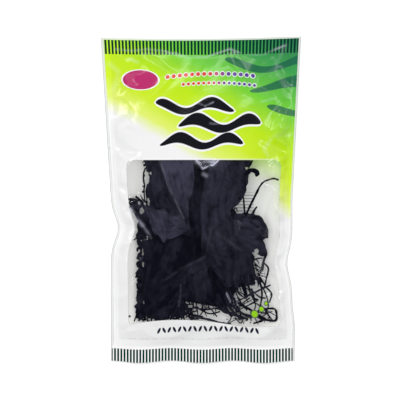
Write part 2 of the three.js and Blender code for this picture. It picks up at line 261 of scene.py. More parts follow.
smallCreases = {
    "seed": 41, "count": 76, "inset": 5.0, "turn": 0.9,
    "length": (12.0, 36.0), "height": 2.1, "width": (4.0, 8.0),
}
sealSeam = {"height": 0.42, "width": 2.0}
filmSwells = [  # height, lean across, lean along, length, phase
    (0.55, 1.0, 0.6, 74.0, 0.7), (0.33, -0.8, 1.0, 41.0, 0.0),
]
easeRoom = 6.0  # creases fade where the films come closer than this
deepest = 1.4  # the lowest that a valley reaches


def toLine(x, y, start, end):  # share along a straight line, and distance from it
    runX, runY = end[0] - start[0], end[1] - start[1]
    t = clamp01(((x - start[0]) * runX + (y - start[1]) * runY) / (runX ** 2 + runY ** 2))
    return t, np.hypot(x - start[0] - t * runX, y - start[1] - t * runY)


def crease(x, y, startX, startY, endX, endY, height, width):
    t, away = toLine(x, y, (startX, startY), (endX, endY))
    ends = np.minimum(1.0, creaseEnd["share"] + creaseEnd["rise"] * t * (1.0 - t))
    return height * np.maximum(0.0, 1.0 - away / width) * ends


def hazeAndGlint(x, y):  # painted highlight along the film's sharpest folds, partly the real whitening of creased film: how strong it is at each point
    total = np.zeros_like(x)
    for path, width, share in whiteningAndGlintLines:
        for start, end in zip(path, path[1:]):
            away = toLine(x, y, start, end)[1]
            total = np.maximum(total, share * np.exp(-((away / width) ** 2)))
    return total


def edgeCreases():
    rng = np.random.default_rng(smallCreases["seed"])
    found = []
    for number in range(smallCreases["count"]):
        y = rng.uniform(pouch["bottomSeal"], pouch["topSeal"])
        left, right = sides(y)
        inward = 1.0 if rng.random() < 0.5 else -1.0
        startX = (left if inward > 0 else right) + inward * smallCreases["inset"]
        turn = rng.uniform(-smallCreases["turn"], smallCreases["turn"])
        length = rng.uniform(*smallCreases["length"])
        endX = startX + length * math.cos(turn) * inward
        endY = y + length * math.sin(turn)
        height = smallCreases["height"] * rng.uniform(-1.0, 1.0)
        found.append((startX, y, endX, endY, height, rng.uniform(*smallCreases["width"])))
    return found


def crumple(x, y):
    total = np.zeros_like(x)
    for height, leanX, leanY, length, phase in filmSwells:
        total += height * np.sin(2 * math.pi * (leanX * x + leanY * y) / length + phase)
    for line in creases + edgeCreases():
        total += crease(x, y, *line)
    seam = sealSeam["height"] * np.maximum(0.0, 1.0 - np.abs(y - sealLine(x)) / sealSeam["width"])
    return np.maximum(total, -deepest) * clamp01(room(x, y) / easeRoom) + seam


# Mesh helpers

curveSteps = 24  # between two points of a path


def newPiece(name, vertices, faces, edges=()):
    mesh = bpy.data.meshes.new(name)
    mesh.from_pydata((np.asarray(vertices) * mm).tolist(), list(edges), faces)
    piece = bpy.data.objects.new(name, mesh)
    scene.collection.objects.link(piece)
    return piece


def setValues(piece, name, kind, values):
    field = piece.data.attributes.new(name, kind, "POINT")
    key = "vector" if kind == "FLOAT_VECTOR" else "value"
    field.data.foreach_set(key, np.asarray(values, dtype=np.float32).ravel())


def smoothFaces(piece, sharpDegrees):
    mesh = piece.data
    mesh.polygons.foreach_set("use_smooth", np.ones(len(mesh.polygons), dtype=bool))
    mesh.set_sharp_from_angle(angle=math.radians(sharpDegrees))


def plainMesh(piece):  # the modifiers' result becomes the piece's own mesh
    graph = bpy.context.evaluated_depsgraph_get()
    mesh = bpy.data.meshes.new_from_object(piece.evaluated_get(graph))
    piece.modifiers.clear()
    piece.data = mesh


def gridFaces(rows, columns, start=0):
    number = start + np.arange(rows * columns).reshape(rows, columns)
    corners = (number[:-1, :-1], number[:-1, 1:], number[1:, 1:], number[1:, :-1])
    return np.stack([c.ravel() for c in corners], axis=1)


def curvePoints(points, step):  # even steps along a smooth curve through the points
    points = np.asarray(points, dtype=float)
    padded = np.vstack((2 * points[0] - points[1], points, 2 * points[-1] - points[-2]))
    t = np.linspace(0.0, 1.0, curveSteps, endpoint=False)[:, None]
    runs = []
    for a, b, c, d in zip(padded, padded[1:], padded[2:], padded[3:]):
        bend = (2 * a - 5 * b + 4 * c - d) * t ** 2 + (3 * b - a - 3 * c + d) * t ** 3
        runs.append(0.5 * (2 * b + (c - a) * t + bend))
    fine = np.vstack((*runs, points[-1:]))
    length = np.concatenate(([0.0], np.cumsum(np.hypot(*np.diff(fine[:, :2], axis=0).T))))
    count = max(3, int(round(length[-1] / step)) + 1)
    even = np.linspace(0.0, length[-1], count)
    return even, np.stack([np.interp(even, length, column) for column in fine.T], axis=1)


def wander(rng, along, spacing, reach=1.0):  # broken random line about zero, as a torn edge runs
    knots = np.arange(along[0] - spacing, along[-1] + 2 * spacing, spacing)
    return reach * np.interp(along, knots, rng.uniform(-1.0, 1.0, len(knots)))


# Node helpers

class Wire:  # a value in a shader, which adds a Math node for each sum written with it
    def __init__(self, tree, socket):
        self.tree = tree
        self.socket = socket

    def join(self, operation, *others):
        node = self.tree.nodes.new("ShaderNodeMath")
        node.operation = operation
        for socket, value in zip(node.inputs, (self, *others)):
            feed(self.tree, socket, value)
        return Wire(self.tree, node.outputs[0])

    __add__ = partialmethod(join, "ADD")
    __sub__ = partialmethod(join, "SUBTRACT")
    __mul__ = partialmethod(join, "MULTIPLY")
    __truediv__ = partialmethod(join, "DIVIDE")
    least = partialmethod(join, "MINIMUM")
    most = partialmethod(join, "MAXIMUM")
    size = partialmethod(join, "ABSOLUTE")
    root = partialmethod(join, "SQRT")
    sine = partialmethod(join, "SINE")
    fraction = partialmethod(join, "FRACT")
    sign = partialmethod(join, "SIGN")

    def squared(self):
        return self * self

    def flipped(self):
        return self.join("MULTIPLY_ADD", -1.0, 1.0)

    def band(self, low, high):  # eased step from 0 at low to 1 at high
        node = self.tree.nodes.new("ShaderNodeMapRange")
        node.interpolation_type = "SMOOTHSTEP"
        for socket, value in zip(node.inputs, (self, low, high)):
            feed(self.tree, socket, value)
        return Wire(self.tree, node.outputs[0])

    def above(self, level, soft):  # eased step about a level
        return self.band(level - soft, level + soft)

    def within(self, soft):  # 1 where a distance is below zero
        return self.above(0.0, soft).flipped()


def feed(tree, socket, value):
    if isinstance(value, Wire):
        tree.links.new(value.socket, socket)
    else:
        socket.default_value = value


def ink(red, green, blue):  # a colour as it looks under the soft boxes, made linear
    linear = [(c / 255 / 12.92) if c < 11 else ((c / 255 + 0.055) / 1.055) ** 2.4 for c in (red, green, blue)]
    return (*[c / studio["gain"] for c in linear], 1.0)


def blendColour(tree, share, under, over):
    node = tree.nodes.new("ShaderNodeMix")
    node.data_type = "RGBA"
    feed(tree, node.inputs[0], share)
    feed(tree, node.inputs[6], under)
    feed(tree, node.inputs[7], over)
    return Wire(tree, node.outputs[2])


def noise(tree, place, scale, detail, distortion=0.0):
    node = tree.nodes.new("ShaderNodeTexNoise")
    feed(tree, node.inputs["Vector"], place)
    setInputs(node, {"Scale": scale, "Detail": detail, "Distortion": distortion})
    return Wire(tree, node.outputs[0])


def stretched(tree, place, scale):
    node = tree.nodes.new("ShaderNodeVectorMath")
    node.operation = "MULTIPLY"
    feed(tree, node.inputs[0], place)
    node.inputs[1].default_value = scale
    return Wire(tree, node.outputs[0])


def fieldOf(tree, name):
    node = tree.nodes.new("ShaderNodeAttribute")
    node.attribute_name = name
    return node


def objectPlace(tree):
    return Wire(tree, tree.nodes.new("ShaderNodeTexCoord").outputs["Object"])


def flatPlace(tree):  # where a point lies on the film laid flat, in millimetres
    split = tree.nodes.new("ShaderNodeSeparateXYZ")
    tree.links.new(fieldOf(tree, "flat").outputs["Vector"], split.inputs[0])
    return Wire(tree, split.outputs[0]), Wire(tree, split.outputs[1])


def makeGroup(name, takes, gives):
    tree = bpy.data.node_groups.new(name, "ShaderNodeTree")
    for label in takes:
        kind = "NodeSocketVector" if label == "Place" else "NodeSocketFloat"
        tree.interface.new_socket(label, in_out="INPUT", socket_type=kind)
    for label in gives:
        kind = "NodeSocketColor" if label == "Colour" else "NodeSocketFloat"
        tree.interface.new_socket(label, in_out="OUTPUT", socket_type=kind)
    start = tree.nodes.new("NodeGroupInput")
    end = tree.nodes.new("NodeGroupOutput")
    return tree, [Wire(tree, start.outputs[label]) for label in takes], end


def useGroup(tree, group, *values):
    node = tree.nodes.new("ShaderNodeGroup")
    node.node_tree = group
    for socket, value in zip(node.inputs, values):
        feed(tree, socket, value)
    return [Wire(tree, socket) for socket in node.outputs]


def newMaterial(name):
    made = bpy.data.materials.new(name)
    made.use_nodes = True
    return made, made.node_tree, made.node_tree.nodes["Principled BSDF"]


def bumpInto(tree, shader, height, strength, distance):
    bump = tree.nodes.new("ShaderNodeBump")
    setInputs(bump, {"Strength": strength, "Distance": distance})
    feed(tree, bump.inputs["Height"], height)
    tree.links.new(bump.outputs["Normal"], shader.inputs["Normal"])


# Shared shader effects

wash = {  # tints from white to deep green by distance along a slanted line, in millimetres
    "slant": 0.557, "start": 42.5, "waver": 13.0, "cloud": (0.028, 3.0, 0.4),
    "tints": [
        (-8.0, (243, 243, 241)), (8.0, (226, 243, 112)), (30.0, (206, 237, 40)), (58.0, (192, 235, 24)),
        (96.0, (116, 210, 58)), (134.0, (62, 160, 78)), (182.0, (30, 98, 76)),
    ],
}
bars = {
    "pitch": 3.45, "edge": 0.1, "bolder": 0.34, "soft": 0.2,
    "head": (147.3, 161.6), "foot": (-162.2, -148.6),
}
wrinkle = {  # scale, detail and distortion of two noises, and their shares
    "stretch": (1.0, 0.7, 1.0), "broad": (62.0, 3.0, 0.8), "fine": (210.0, 2.0, 0.5), "shares": (0.8, 0.2),
}
brush = {"lag": 0.6, "swell": 0.28}  # a stroke is thickest a little past each crest


def greenWashGroup():
    tree, (across, along), end = makeGroup("greenWash", ["Across", "Along"], ["Colour"])
    join = tree.nodes.new("ShaderNodeCombineXYZ")
    feed(tree, join.inputs[0], across)
    feed(tree, join.inputs[1], along)
    cloud = noise(tree, Wire(tree, join.outputs[0]), *wash["cloud"])
    depth = along + across * wash["slant"] - wash["start"] + (cloud - 0.5) * wash["waver"]
    low, high = wash["tints"][0][0], wash["tints"][-1][0]
    ramp = tree.nodes.new("ShaderNodeValToRGB")
    stops = ramp.color_ramp.elements
    for number, (place, tint) in enumerate(wash["tints"]):
        share = (place - low) / (high - low)
        stop = stops[number] if number < 2 else stops.new(share)
        stop.position = share
        stop.color = ink(*tint)
    feed(tree, ramp.inputs[0], (depth - low) / (high - low))
    tree.links.new(ramp.outputs[0], end.inputs["Colour"])
    return tree


def sealBarsGroup():
    takes = ["Across", "Along", "Low", "High"]
    tree, (across, along, low, high), end = makeGroup("sealBars", takes, ["Mask"])
    beat = (across * (2 * math.pi / bars["pitch"])).sine()
    ends = (along - low).above(0.0, bars["soft"]) * (high - along).above(0.0, bars["soft"])
    feed(tree, end.inputs["Mask"], (beat + bars["bolder"]).above(0.0, bars["edge"]) * ends)
    return tree


def filmWrinkleGroup():
    tree, (place,), end = makeGroup("filmWrinkle", ["Place"], ["Height"])
    broad = noise(tree, stretched(tree, place, wrinkle["stretch"]), *wrinkle["broad"])
    fine = noise(tree, place, *wrinkle["fine"])
    feed(tree, end.inputs["Height"], broad * wrinkle["shares"][0] + fine * wrinkle["shares"][1])
    return tree


def brushWaveGroup():
    takes = ["Across", "Along", "First", "Last", "Level", "Rise", "Length", "Phase", "Half"]
    tree, wires, end = makeGroup("brushWave", takes, ["Distance"])
    across, along, first, last, level, rise, length, phase, half = wires
    span = (last - first) * 0.5
    offset = across - (first + last) * 0.5
    taper = (offset / span).squared().squared().flipped().most(0.0).root()
    swing = (across / length + phase).sine()
    pressed = (across / length + phase - brush["lag"]).sine() * brush["swell"] + 1.0
    distance = (along - level - swing * rise).size() - taper * pressed * half
    feed(tree, end.inputs["Distance"], distance + (offset.size() - span).most(0.0))
    return tree


greenWash = greenWashGroup()
sealBars = sealBarsGroup()
filmWrinkle = filmWrinkleGroup()
brushWave = brushWaveGroup()


# Front film and its print

window = {
    "middle": (2.4, -43.0), "half": (82.9, 82.5), "corner": 7.0, "soft": 0.35,
    "arcTop": -118.8, "arcMiddle": -25.0, "arcBend": 0.0016,
}
headRule = {  # white line over the window, fainter to the right
    "from": 39.5, "thick": 1.3, "soft": 0.2, "middle": 2.0, "ends": (78.0, 80.0),
    "fades": (0.0, 45.0), "faded": 0.65,
}
flatHalf = 100.0  # half width of a film laid flat
margin = {  # clear edges, with the left one slim at the foot
    "left": 2.5, "leftFoot": 0.6, "leftGrows": (-150.0, -140.0),
    "right": 2.0, "top": 1.8, "bottom": 1.0, "soft": 0.2,
}
waves = [  # first and last across, level, rise, wave length, phase, half thickness
    (-47.0, 34.0, 93.0, 4.6, 8.6, 0.4, 4.6), (-24.0, 62.0, 75.5, 5.0, 8.9, 2.2, 5.4),
    (-44.0, 44.0, 57.5, 4.2, 8.2, 4.4, 4.6),
]
waveEdge = {"line": 2.0, "lineSoft": 0.4, "soft": 0.3}
oval = {"middle": (-62.0, 121.0), "half": (18.0, 10.0), "line": 0.09, "lineSoft": 0.02, "soft": 0.02}
beads = {  # rows of a level, a pitch, a half width and two ends
    "middle": 12.0, "bend": 0.0016, "endSoft": 0.1, "outOfRow": 20.0, "redToViolet": (5.0, 30.0),
    "line": 0.7, "lineSoft": 0.3, "soft": 0.3,
    "rows": [(127.5, 6.2, 2.1, -37.2, 55.8), (117.8, 5.2, 1.6, -20.8, 57.2)],
}
swells = [  # as the waves, but running off the edge
    (24.0, 150.0, 137.0, 6.0, 15.0, 0.4, 4.4), (50.0, 150.0, 114.0, 5.0, 17.0, 1.9, 5.0),
    (68.0, 150.0, 90.0, 4.0, 14.0, 3.6, 3.6),
]
swellInk = {"soft": 0.5, "share": 0.85}
grains = {
    "level": -127.6, "middle": 5.6, "bend": 0.0009, "pitch": 5.6, "lean": 0.42,
    "half": (1.5, 2.9), "soft": 0.15, "ends": (56.0, 56.1),
}
sealDashes = {
    "level": -138.6, "rise": 1.1, "length": 21.0, "waver": 0.4, "half": 0.3, "soft": 0.3, "share": 0.34,
    "grain": (0.13, 0.0, 1.0), "gapGrain": (0.221, 0.0, 1.0), "detail": 3.0, "gaps": (0.42, 0.58),
    "ends": (86.0, 90.0),
}
# painted shade between the seals, where the filling lies under the print
filling = {"side": 91.5, "foot": -139.2, "head": 147.0, "soft": 0.7, "shade": 0.078}
bubbles = [(57.0, -113.0, 3.4), (65.0, -108.0, 2.4), (70.5, -102.5, 1.6)]
bubbleEdge = {"line": 0.7, "lineSoft": 0.25, "soft": 0.25}
printInk = {
    "black": ink(20, 20, 26), "white": ink(246, 246, 246), "crimson": ink(190, 48, 108),
    "bar": ink(0, 52, 40), "swell": ink(24, 98, 74), "red": ink(222, 66, 40), "violet": ink(84, 62, 146),
    "lime": ink(150, 214, 32), "dash": ink(120, 122, 138), "navy": ink(30, 32, 52),
}
filmGloss = {
    "ior": 1.46, "hazeAndGlint": 0.004, "letsIn": 0.95, "tint": (1.0, 1.0, 1.0, 1.0),
    "roughness": 0.04, "roughPrint": 0.05, "roughWrinkle": 0.1, "bump": (0.32, 0.0011),
    # white of the painted fold highlights, and the noise that breaks them into glints
    "glintAndWhiteningInk": ink(228, 231, 250), "glintBreakNoise": (80.0, 2.0), "glintMix": (0.24, 0.58),
}
filmGrid = {"columns": 160, "rows": 262, "sharp": 50.0}


def lengthOf(x, y):
    return (x.squared() + y.squared()).root()


def nearest(distances):
    total = distances[0]
    for distance in distances[1:]:
        total = total.least(distance)
    return total


def bowed(across, middle, bend, level):  # height of a line that falls off to both sides of its middle
    return (across - middle).squared() * -bend + level


def inCell(value, pitch):  # distance from the middle of the cell that it falls in
    return (value / pitch).fraction() * pitch - pitch / 2


def pastBox(across, along, box, inset=0.0):  # distance past the sides and past the ends of a box
    (middleX, middleY), (halfX, halfY) = box["middle"], box["half"]
    return (across - middleX).size() - (halfX - inset), (along - middleY).size() - (halfY - inset)


def windowMask(across, along):
    wide, tall = pastBox(across, along, window, window["corner"])
    outside = lengthOf(wide.most(0.0), tall.most(0.0)) - window["corner"]
    arc = bowed(across, window["arcMiddle"], window["arcBend"], window["arcTop"])
    return outside.within(window["soft"]) * (along - arc).above(0.0, window["soft"])


def marginMask(across, along):
    soft = margin["soft"]
    edge = flatHalf - soft
    slim = along.band(*margin["leftGrows"]) * (margin["left"] - margin["leftFoot"]) + margin["leftFoot"]
    left = (slim - across - edge).above(0.0, soft)
    right = across.above(edge - margin["right"], soft)
    head = along.above(pouch["top"] - margin["top"], soft)
    foot = along.above(pouch["bottom"] + margin["bottom"], soft).flipped()
    return right.most(left).most(head).most(foot)


def nearestWave(tree, across, along, strokes):
    return nearest([useGroup(tree, brushWave, across, along, *stroke)[0] for stroke in strokes])


def ovalDistance(across, along):
    wide = (across - oval["middle"][0]) / oval["half"][0]
    tall = (along - oval["middle"][1]) / oval["half"][1]
    return lengthOf(wide, tall) - 1.0


def beadDistance(across, along):
    rows = []
    for level, pitch, half, first, last in beads["rows"]:
        line = bowed(across, beads["middle"], beads["bend"], level)
        begun = across.band(first - beads["endSoft"], first)
        ended = across.band(last, last + beads["endSoft"])
        outside = (begun * ended.flipped()).flipped() * beads["outOfRow"]
        rows.append(lengthOf(inCell(across, pitch), along - line) - half + outside)
    return nearest(rows)


def grainMask(across, along):  # a row of small grains that lean left and right in turn
    lean = inCell(across, 2 * grains["pitch"]).sign() * grains["lean"]
    wide = inCell(across, grains["pitch"])
    tall = along - bowed(across, grains["middle"], grains["bend"], grains["level"])
    shape = lengthOf((wide - tall * lean) / grains["half"][0], tall / grains["half"][1]) - 1.0
    ends = (across - grains["middle"]).size().band(*grains["ends"]).flipped()
    return shape.within(grains["soft"]) * ends


def sealDashMask(tree, across, along):  # the faint broken line where the foot was pressed shut
    flat = Wire(tree, fieldOf(tree, "flat").outputs["Vector"])
    rough = noise(tree, stretched(tree, flat, sealDashes["grain"]), 1.0, sealDashes["detail"])
    gaps = noise(tree, stretched(tree, flat, sealDashes["gapGrain"]), 1.0, sealDashes["detail"])
    wave = (across / sealDashes["length"]).sine() * sealDashes["waver"] + rough
    line = wave * sealDashes["rise"] + sealDashes["level"]
    stroke = ((along - line).size() - sealDashes["half"]).within(sealDashes["soft"])
    ends = across.size().band(*sealDashes["ends"]).flipped()
    return stroke * gaps.band(*sealDashes["gaps"]) * ends * sealDashes["share"]


def fillShade(across, along):  # painted shade: the print darkens towards black between the seals, where the dark filling lies under it
    side = across.size().above(filling["side"], filling["soft"]).flipped()
    foot = along.above(filling["foot"], filling["soft"])
    head = along.above(filling["head"], filling["soft"]).flipped()
    return side * foot * head * filling["shade"]


def bubbleDistance(across, along):
    return nearest([lengthOf(across - x, along - y) - half for x, y, half in bubbles])


def headRuleMask(across, along):
    rise = along - headRule["from"]
    thick, soft = headRule["thick"], headRule["soft"]
    stripe = rise.band(0.0, soft) * rise.band(thick, thick + soft).flipped()
    ends = (across - headRule["middle"]).size().band(*headRule["ends"])
    faded = across.band(*headRule["fades"]) * headRule["faded"]
    return stripe * ends.most(faded).flipped()


def endBars(tree, across, along):
    head, foot = [useGroup(tree, sealBars, across, along, *bars[end])[0] for end in ("head", "foot")]
    return head.most(foot)


def outlined(distance, edge, line, tint):  # two layers of ink: a wider outline, and the shape on it
    outline = (distance - edge["line"]).within(edge["lineSoft"])
    return [(outline, line), (distance.within(edge["soft"]), tint)]


def printOver(tree, paint, layers):
    for share, tint in layers:
        paint = blendColour(tree, share, paint, tint)
    return paint


def frontPrint(tree, across, along):  # the printed colour, layer over layer, and where the bubbles are
    paint, = useGroup(tree, greenWash, across, along)
    swell = nearestWave(tree, across, along, swells).within(swellInk["soft"]) * swellInk["share"]
    wave = nearestWave(tree, across, along, waves)
    beadTint = blendColour(tree, across.band(*beads["redToViolet"]), printInk["red"], printInk["violet"])
    dots = outlined(bubbleDistance(across, along), bubbleEdge, printInk["black"], printInk["lime"])
    layers = [
        (swell, printInk["swell"]),
        *outlined(wave, waveEdge, printInk["white"], printInk["black"]),
        *outlined(ovalDistance(across, along), oval, printInk["white"], printInk["crimson"]),
        *outlined(beadDistance(across, along), beads, printInk["white"], beadTint),
        (sealDashMask(tree, across, along), printInk["dash"]),
        (endBars(tree, across, along), printInk["bar"]),
        (grainMask(across, along), printInk["navy"]),
        *dots,
        (headRuleMask(across, along), printInk["white"]),
    ]
    return printOver(tree, paint, layers), dots[0][0]


def mixShaders(tree, share, under, over):
    node = tree.nodes.new("ShaderNodeMixShader")
    feed(tree, node.inputs[0], share)
    tree.links.new(under.outputs[0], node.inputs[1])
    tree.links.new(over.outputs[0], node.inputs[2])
    return node


def clearFilm(tree, shader, clear, paint):  # see-through where clear is 1, and the print lets light in
    fresnel = tree.nodes.new("ShaderNodeFresnel")
    fresnel.inputs["IOR"].default_value = filmGloss["ior"]
    tree.links.new(shader.inputs["Normal"].links[0].from_socket, fresnel.inputs["Normal"])
    facing = Wire(tree, tree.nodes.new("ShaderNodeNewGeometry").outputs["Backfacing"]).flipped()
    shine = (Wire(tree, fresnel.outputs[0]) + filmGloss["hazeAndGlint"]) * facing
    lightRay = Wire(tree, tree.nodes.new("ShaderNodeLightPath").outputs["Is Shadow Ray"])
    printed = clear.flipped() * (lightRay * -filmGloss["letsIn"] + 1.0)
    through = tree.nodes.new("ShaderNodeBsdfTransparent")
    feed(tree, through.inputs["Color"], paint)
    film = mixShaders(tree, (clear * shine).most(printed), through, shader)
    # painted highlights: white mixed into the film along its folds and at a few glints, partly the real
    # whitening of creased film
    glintAndWhiteningInk = tree.nodes.new("ShaderNodeBsdfDiffuse")
    glintAndWhiteningInk.inputs["Color"].default_value = filmGloss["glintAndWhiteningInk"]
    broken = noise(tree, objectPlace(tree), *filmGloss["glintBreakNoise"]).band(*filmGloss["glintMix"])
    whiteningAndGlint = Wire(tree, fieldOf(tree, "hazeAndGlint").outputs["Fac"]) * broken
    glintMix = mixShaders(tree, whiteningAndGlint, film, glintAndWhiteningInk)
    tree.links.new(glintMix.outputs[0], tree.nodes["Material Output"].inputs["Surface"])


def frontFilmFinish():
    made, tree, shader = newMaterial("printedFilm")
    across, along = flatPlace(tree)
    paint, bubble = frontPrint(tree, across, along)
    paint = blendColour(tree, fillShade(across, along), paint, printInk["black"])
    clear = (windowMask(across, along) * bubble.flipped()).most(marginMask(across, along))
    paint = blendColour(tree, clear, paint, filmGloss["tint"])
    feed(tree, shader.inputs["Base Color"], paint)
    feed(tree, shader.inputs["Metallic"], clear)
    height, = useGroup(tree, filmWrinkle, objectPlace(tree))
    rough = height * filmGloss["roughWrinkle"] + clear.flipped() * filmGloss["roughPrint"]
    feed(tree, shader.inputs["Roughness"], rough + filmGloss["roughness"])
    bumpInto(tree, shader, height, *filmGloss["bump"])
    clearFilm(tree, shader, clear, paint)
    return made


def filmPlan():
    u = np.linspace(-1.0, 1.0, filmGrid["columns"] + 1)
    straight = np.linspace(pouch["bottom"], pouch["top"], filmGrid["rows"] + 1)
    u, straight = np.meshgrid(u, straight)
    left, right = sides(straight)
    x = (left + right) / 2 + u * (right - left) / 2
    wave = footWave["drop"] * np.cos(2 * math.pi * x / footWave["length"]) * nearFoot(straight)
    bow = headSag["middle"] - headSag["lean"] * u - headSag["bow"] * u ** 2
    sag = bow * ease(straight, headSag["from"], pouch["top"])
    flat = np.stack((u * flatHalf, straight, np.zeros_like(u)), axis=2)
    return x, straight, straight - wave - sag, flat


def filmShell(name, x, y, upper, lower, flat):
    rows, columns = x.shape
    count = rows * columns
    number = np.arange(count).reshape(rows, columns)
    faces = gridFaces(rows, columns)
    loop = np.concatenate((number[0, :-1], number[:-1, -1], number[-1, :0:-1], number[:0:-1, 0]))
    ahead = np.roll(loop, -1)
    rim = np.stack((loop, loop + count, ahead + count, ahead), axis=1)
    faces = np.vstack((faces, faces[:, ::-1] + count, rim))
    points = np.vstack([np.stack((x, y, z), axis=2).reshape(-1, 3) for z in (upper, lower)])
    piece = newPiece(name, points, faces.tolist())
    setValues(piece, "flat", "FLOAT_VECTOR", np.vstack((flat.reshape(-1, 3), flat.reshape(-1, 3))))
    smoothFaces(piece, filmGrid["sharp"])
    return piece


def makeFrontFilm():
    x, straight, y, flat = filmPlan()
    upper = frontHeight(x, straight) + crumple(x, straight)
    piece = filmShell("frontFilm", x, y, upper, upper - pouch["film"], flat)
    # painted fold highlights, on the outer face only
    whiteningAndGlint = hazeAndGlint(x, straight).ravel()
    setValues(piece, "hazeAndGlint", "FLOAT", np.concatenate((whiteningAndGlint, 0.0 * whiteningAndGlint)))
    piece.data.materials.append(frontFilmFinish())
    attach(piece, "root")
    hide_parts("front_film")
    return piece


# Back film

backPanel = {  # a few thin rules
    "middle": (45.5, -4.5), "half": (12.0, 12.0), "pitch": 3.1, "line": 0.55,
    "soft": 0.2, "share": 0.55, "tint": ink(96, 88, 118),
}
backPrint = {
    "paper": ink(250, 250, 248), "washDrop": 22.0, "wash": 0.5, "bars": 0.9,
    "edge": ink(224, 227, 221), "edgeShare": 0.75,
    "cut": 99.2, "cutSoft": 0.3, "cutEdgeShade": ink(186, 188, 186), "cutEdgeShadeShare": 0.6,  # painted shade: a grey rim along the film's cut edge
    "roughness": 0.2, "roughWrinkle": 0.2, "bump": (0.3, 0.001),
}


def backFilmFinish():
    made, tree, shader = newMaterial("backFilmPrint")
    across, along = flatPlace(tree)
    # the back film's own green print, set lower so that it also gives painted green light inside the window,
    # as light through the lime print would
    green, = useGroup(tree, greenWash, across, along - backPrint["washDrop"])
    paint = blendColour(tree, backPrint["wash"], backPrint["paper"], green)
    edge = marginMask(across, along)
    # painted shade along the cut edge
    rim = across.size().above(backPrint["cut"], backPrint["cutSoft"])
    wide, tall = pastBox(across, along, backPanel)
    line = inCell(along, backPanel["pitch"]).size() - backPanel["line"]
    rules = line.within(backPanel["soft"]) * wide.most(tall).within(backPanel["soft"])
    paint = printOver(tree, paint, [
        (edge * backPrint["edgeShare"], backPrint["edge"]),
        (rim * backPrint["cutEdgeShadeShare"], backPrint["cutEdgeShade"]),
        (endBars(tree, across, along) * edge.flipped() * backPrint["bars"], printInk["bar"]),
        (rules * backPanel["share"], backPanel["tint"]),
    ])
    feed(tree, shader.inputs["Base Color"], paint)
    height, = useGroup(tree, filmWrinkle, objectPlace(tree))
    feed(tree, shader.inputs["Roughness"], height * backPrint["roughWrinkle"] + backPrint["roughness"])
    bumpInto(tree, shader, height, *backPrint["bump"])
    return made


def makeBackFilm():
    x, straight, y, flat = filmPlan()
    lower = backHeight(x, straight)
    piece = filmShell("backFilm", x, y, lower + pouch["film"], lower, flat)
    piece.data.materials.append(backFilmFinish())
    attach(piece, "root")
    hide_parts("back_film")
    return piece


# Wakame finish, shared by fronds, strands and crumbs

wakame = {
    "dark": (0.0010, 0.0010, 0.0042, 1.0), "pale": (0.046, 0.045, 0.072, 1.0), "thick": 0.45,
    "toneAndPaintedLight": 0.8, "streak": 0.8, "streakByTone": 2.4, "roughness": 0.36, "roughStreak": 0.3,
    "shine": 0.08, "bump": (0.7, 0.0009), "strandLift": -0.02, "grainSeeds": (0.0, 90.0),
}
frondNoise = {  # stretch, detail and distortion
    "streak": ((0.42, 0.022, 1.0), 4.0, 0.3), "fibre": ((1.3, 0.06, 1.0), 3.0, 0.0),
    "blotch": ((0.13, 0.07, 1.0), 3.0, 0.6), "fleck": ((0.5, 0.2, 1.0), 2.0, 1.2),
}
fleckBand = (0.58, 0.74)
grainShares = {
    "Streak": {"streak": 0.25, "fibre": 0.12, "blotch": 0.63, "fleck": 0.09},
    "Height": {"streak": 0.3, "fibre": 0.1, "blotch": 0.6},
}


def frondGrainGroup():
    tree, (place,), end = makeGroup("frondGrain", ["Place"], list(grainShares))
    found = {}
    for name, (scale, detail, distortion) in frondNoise.items():
        found[name] = noise(tree, stretched(tree, place, scale), 1.0, detail, distortion)
    found["fleck"] = found["fleck"].band(*fleckBand)
    for output, shares in grainShares.items():
        parts = [found[name] * share for name, share in shares.items()]
        feed(tree, end.inputs[output], sum(parts[1:], parts[0]))
    return tree


frondGrain = frondGrainGroup()


def wakameFinish(name, lift):
    made, tree, shader = newMaterial(name)
    grain = Wire(tree, fieldOf(tree, "grain").outputs["Vector"])
    # tone: partly the wakame's own tone, partly painted sheen and shade on the fronds
    toneAndPaintedLight = Wire(tree, fieldOf(tree, "toneAndPaintedLight").outputs["Fac"])
    streak, height = useGroup(tree, frondGrain, grain)
    streaks = (streak - 0.5) * (toneAndPaintedLight * wakame["streakByTone"] + wakame["streak"])
    share = (toneAndPaintedLight * wakame["toneAndPaintedLight"] + streaks + lift).most(0.0).least(1.0)
    feed(tree, shader.inputs["Base Color"], blendColour(tree, share, wakame["dark"], wakame["pale"]))
    feed(tree, shader.inputs["Roughness"], streak * wakame["roughStreak"] + wakame["roughness"])
    shader.inputs["Specular IOR Level"].default_value = wakame["shine"]
    bumpInto(tree, shader, height, *wakame["bump"])
    return made


frondSkin = wakameFinish("wakameFrond", 0.0)
strandSkin = wakameFinish("wakameStrand", wakame["strandLift"])


# Fronds: broad pressed blades, a piece for each bundle

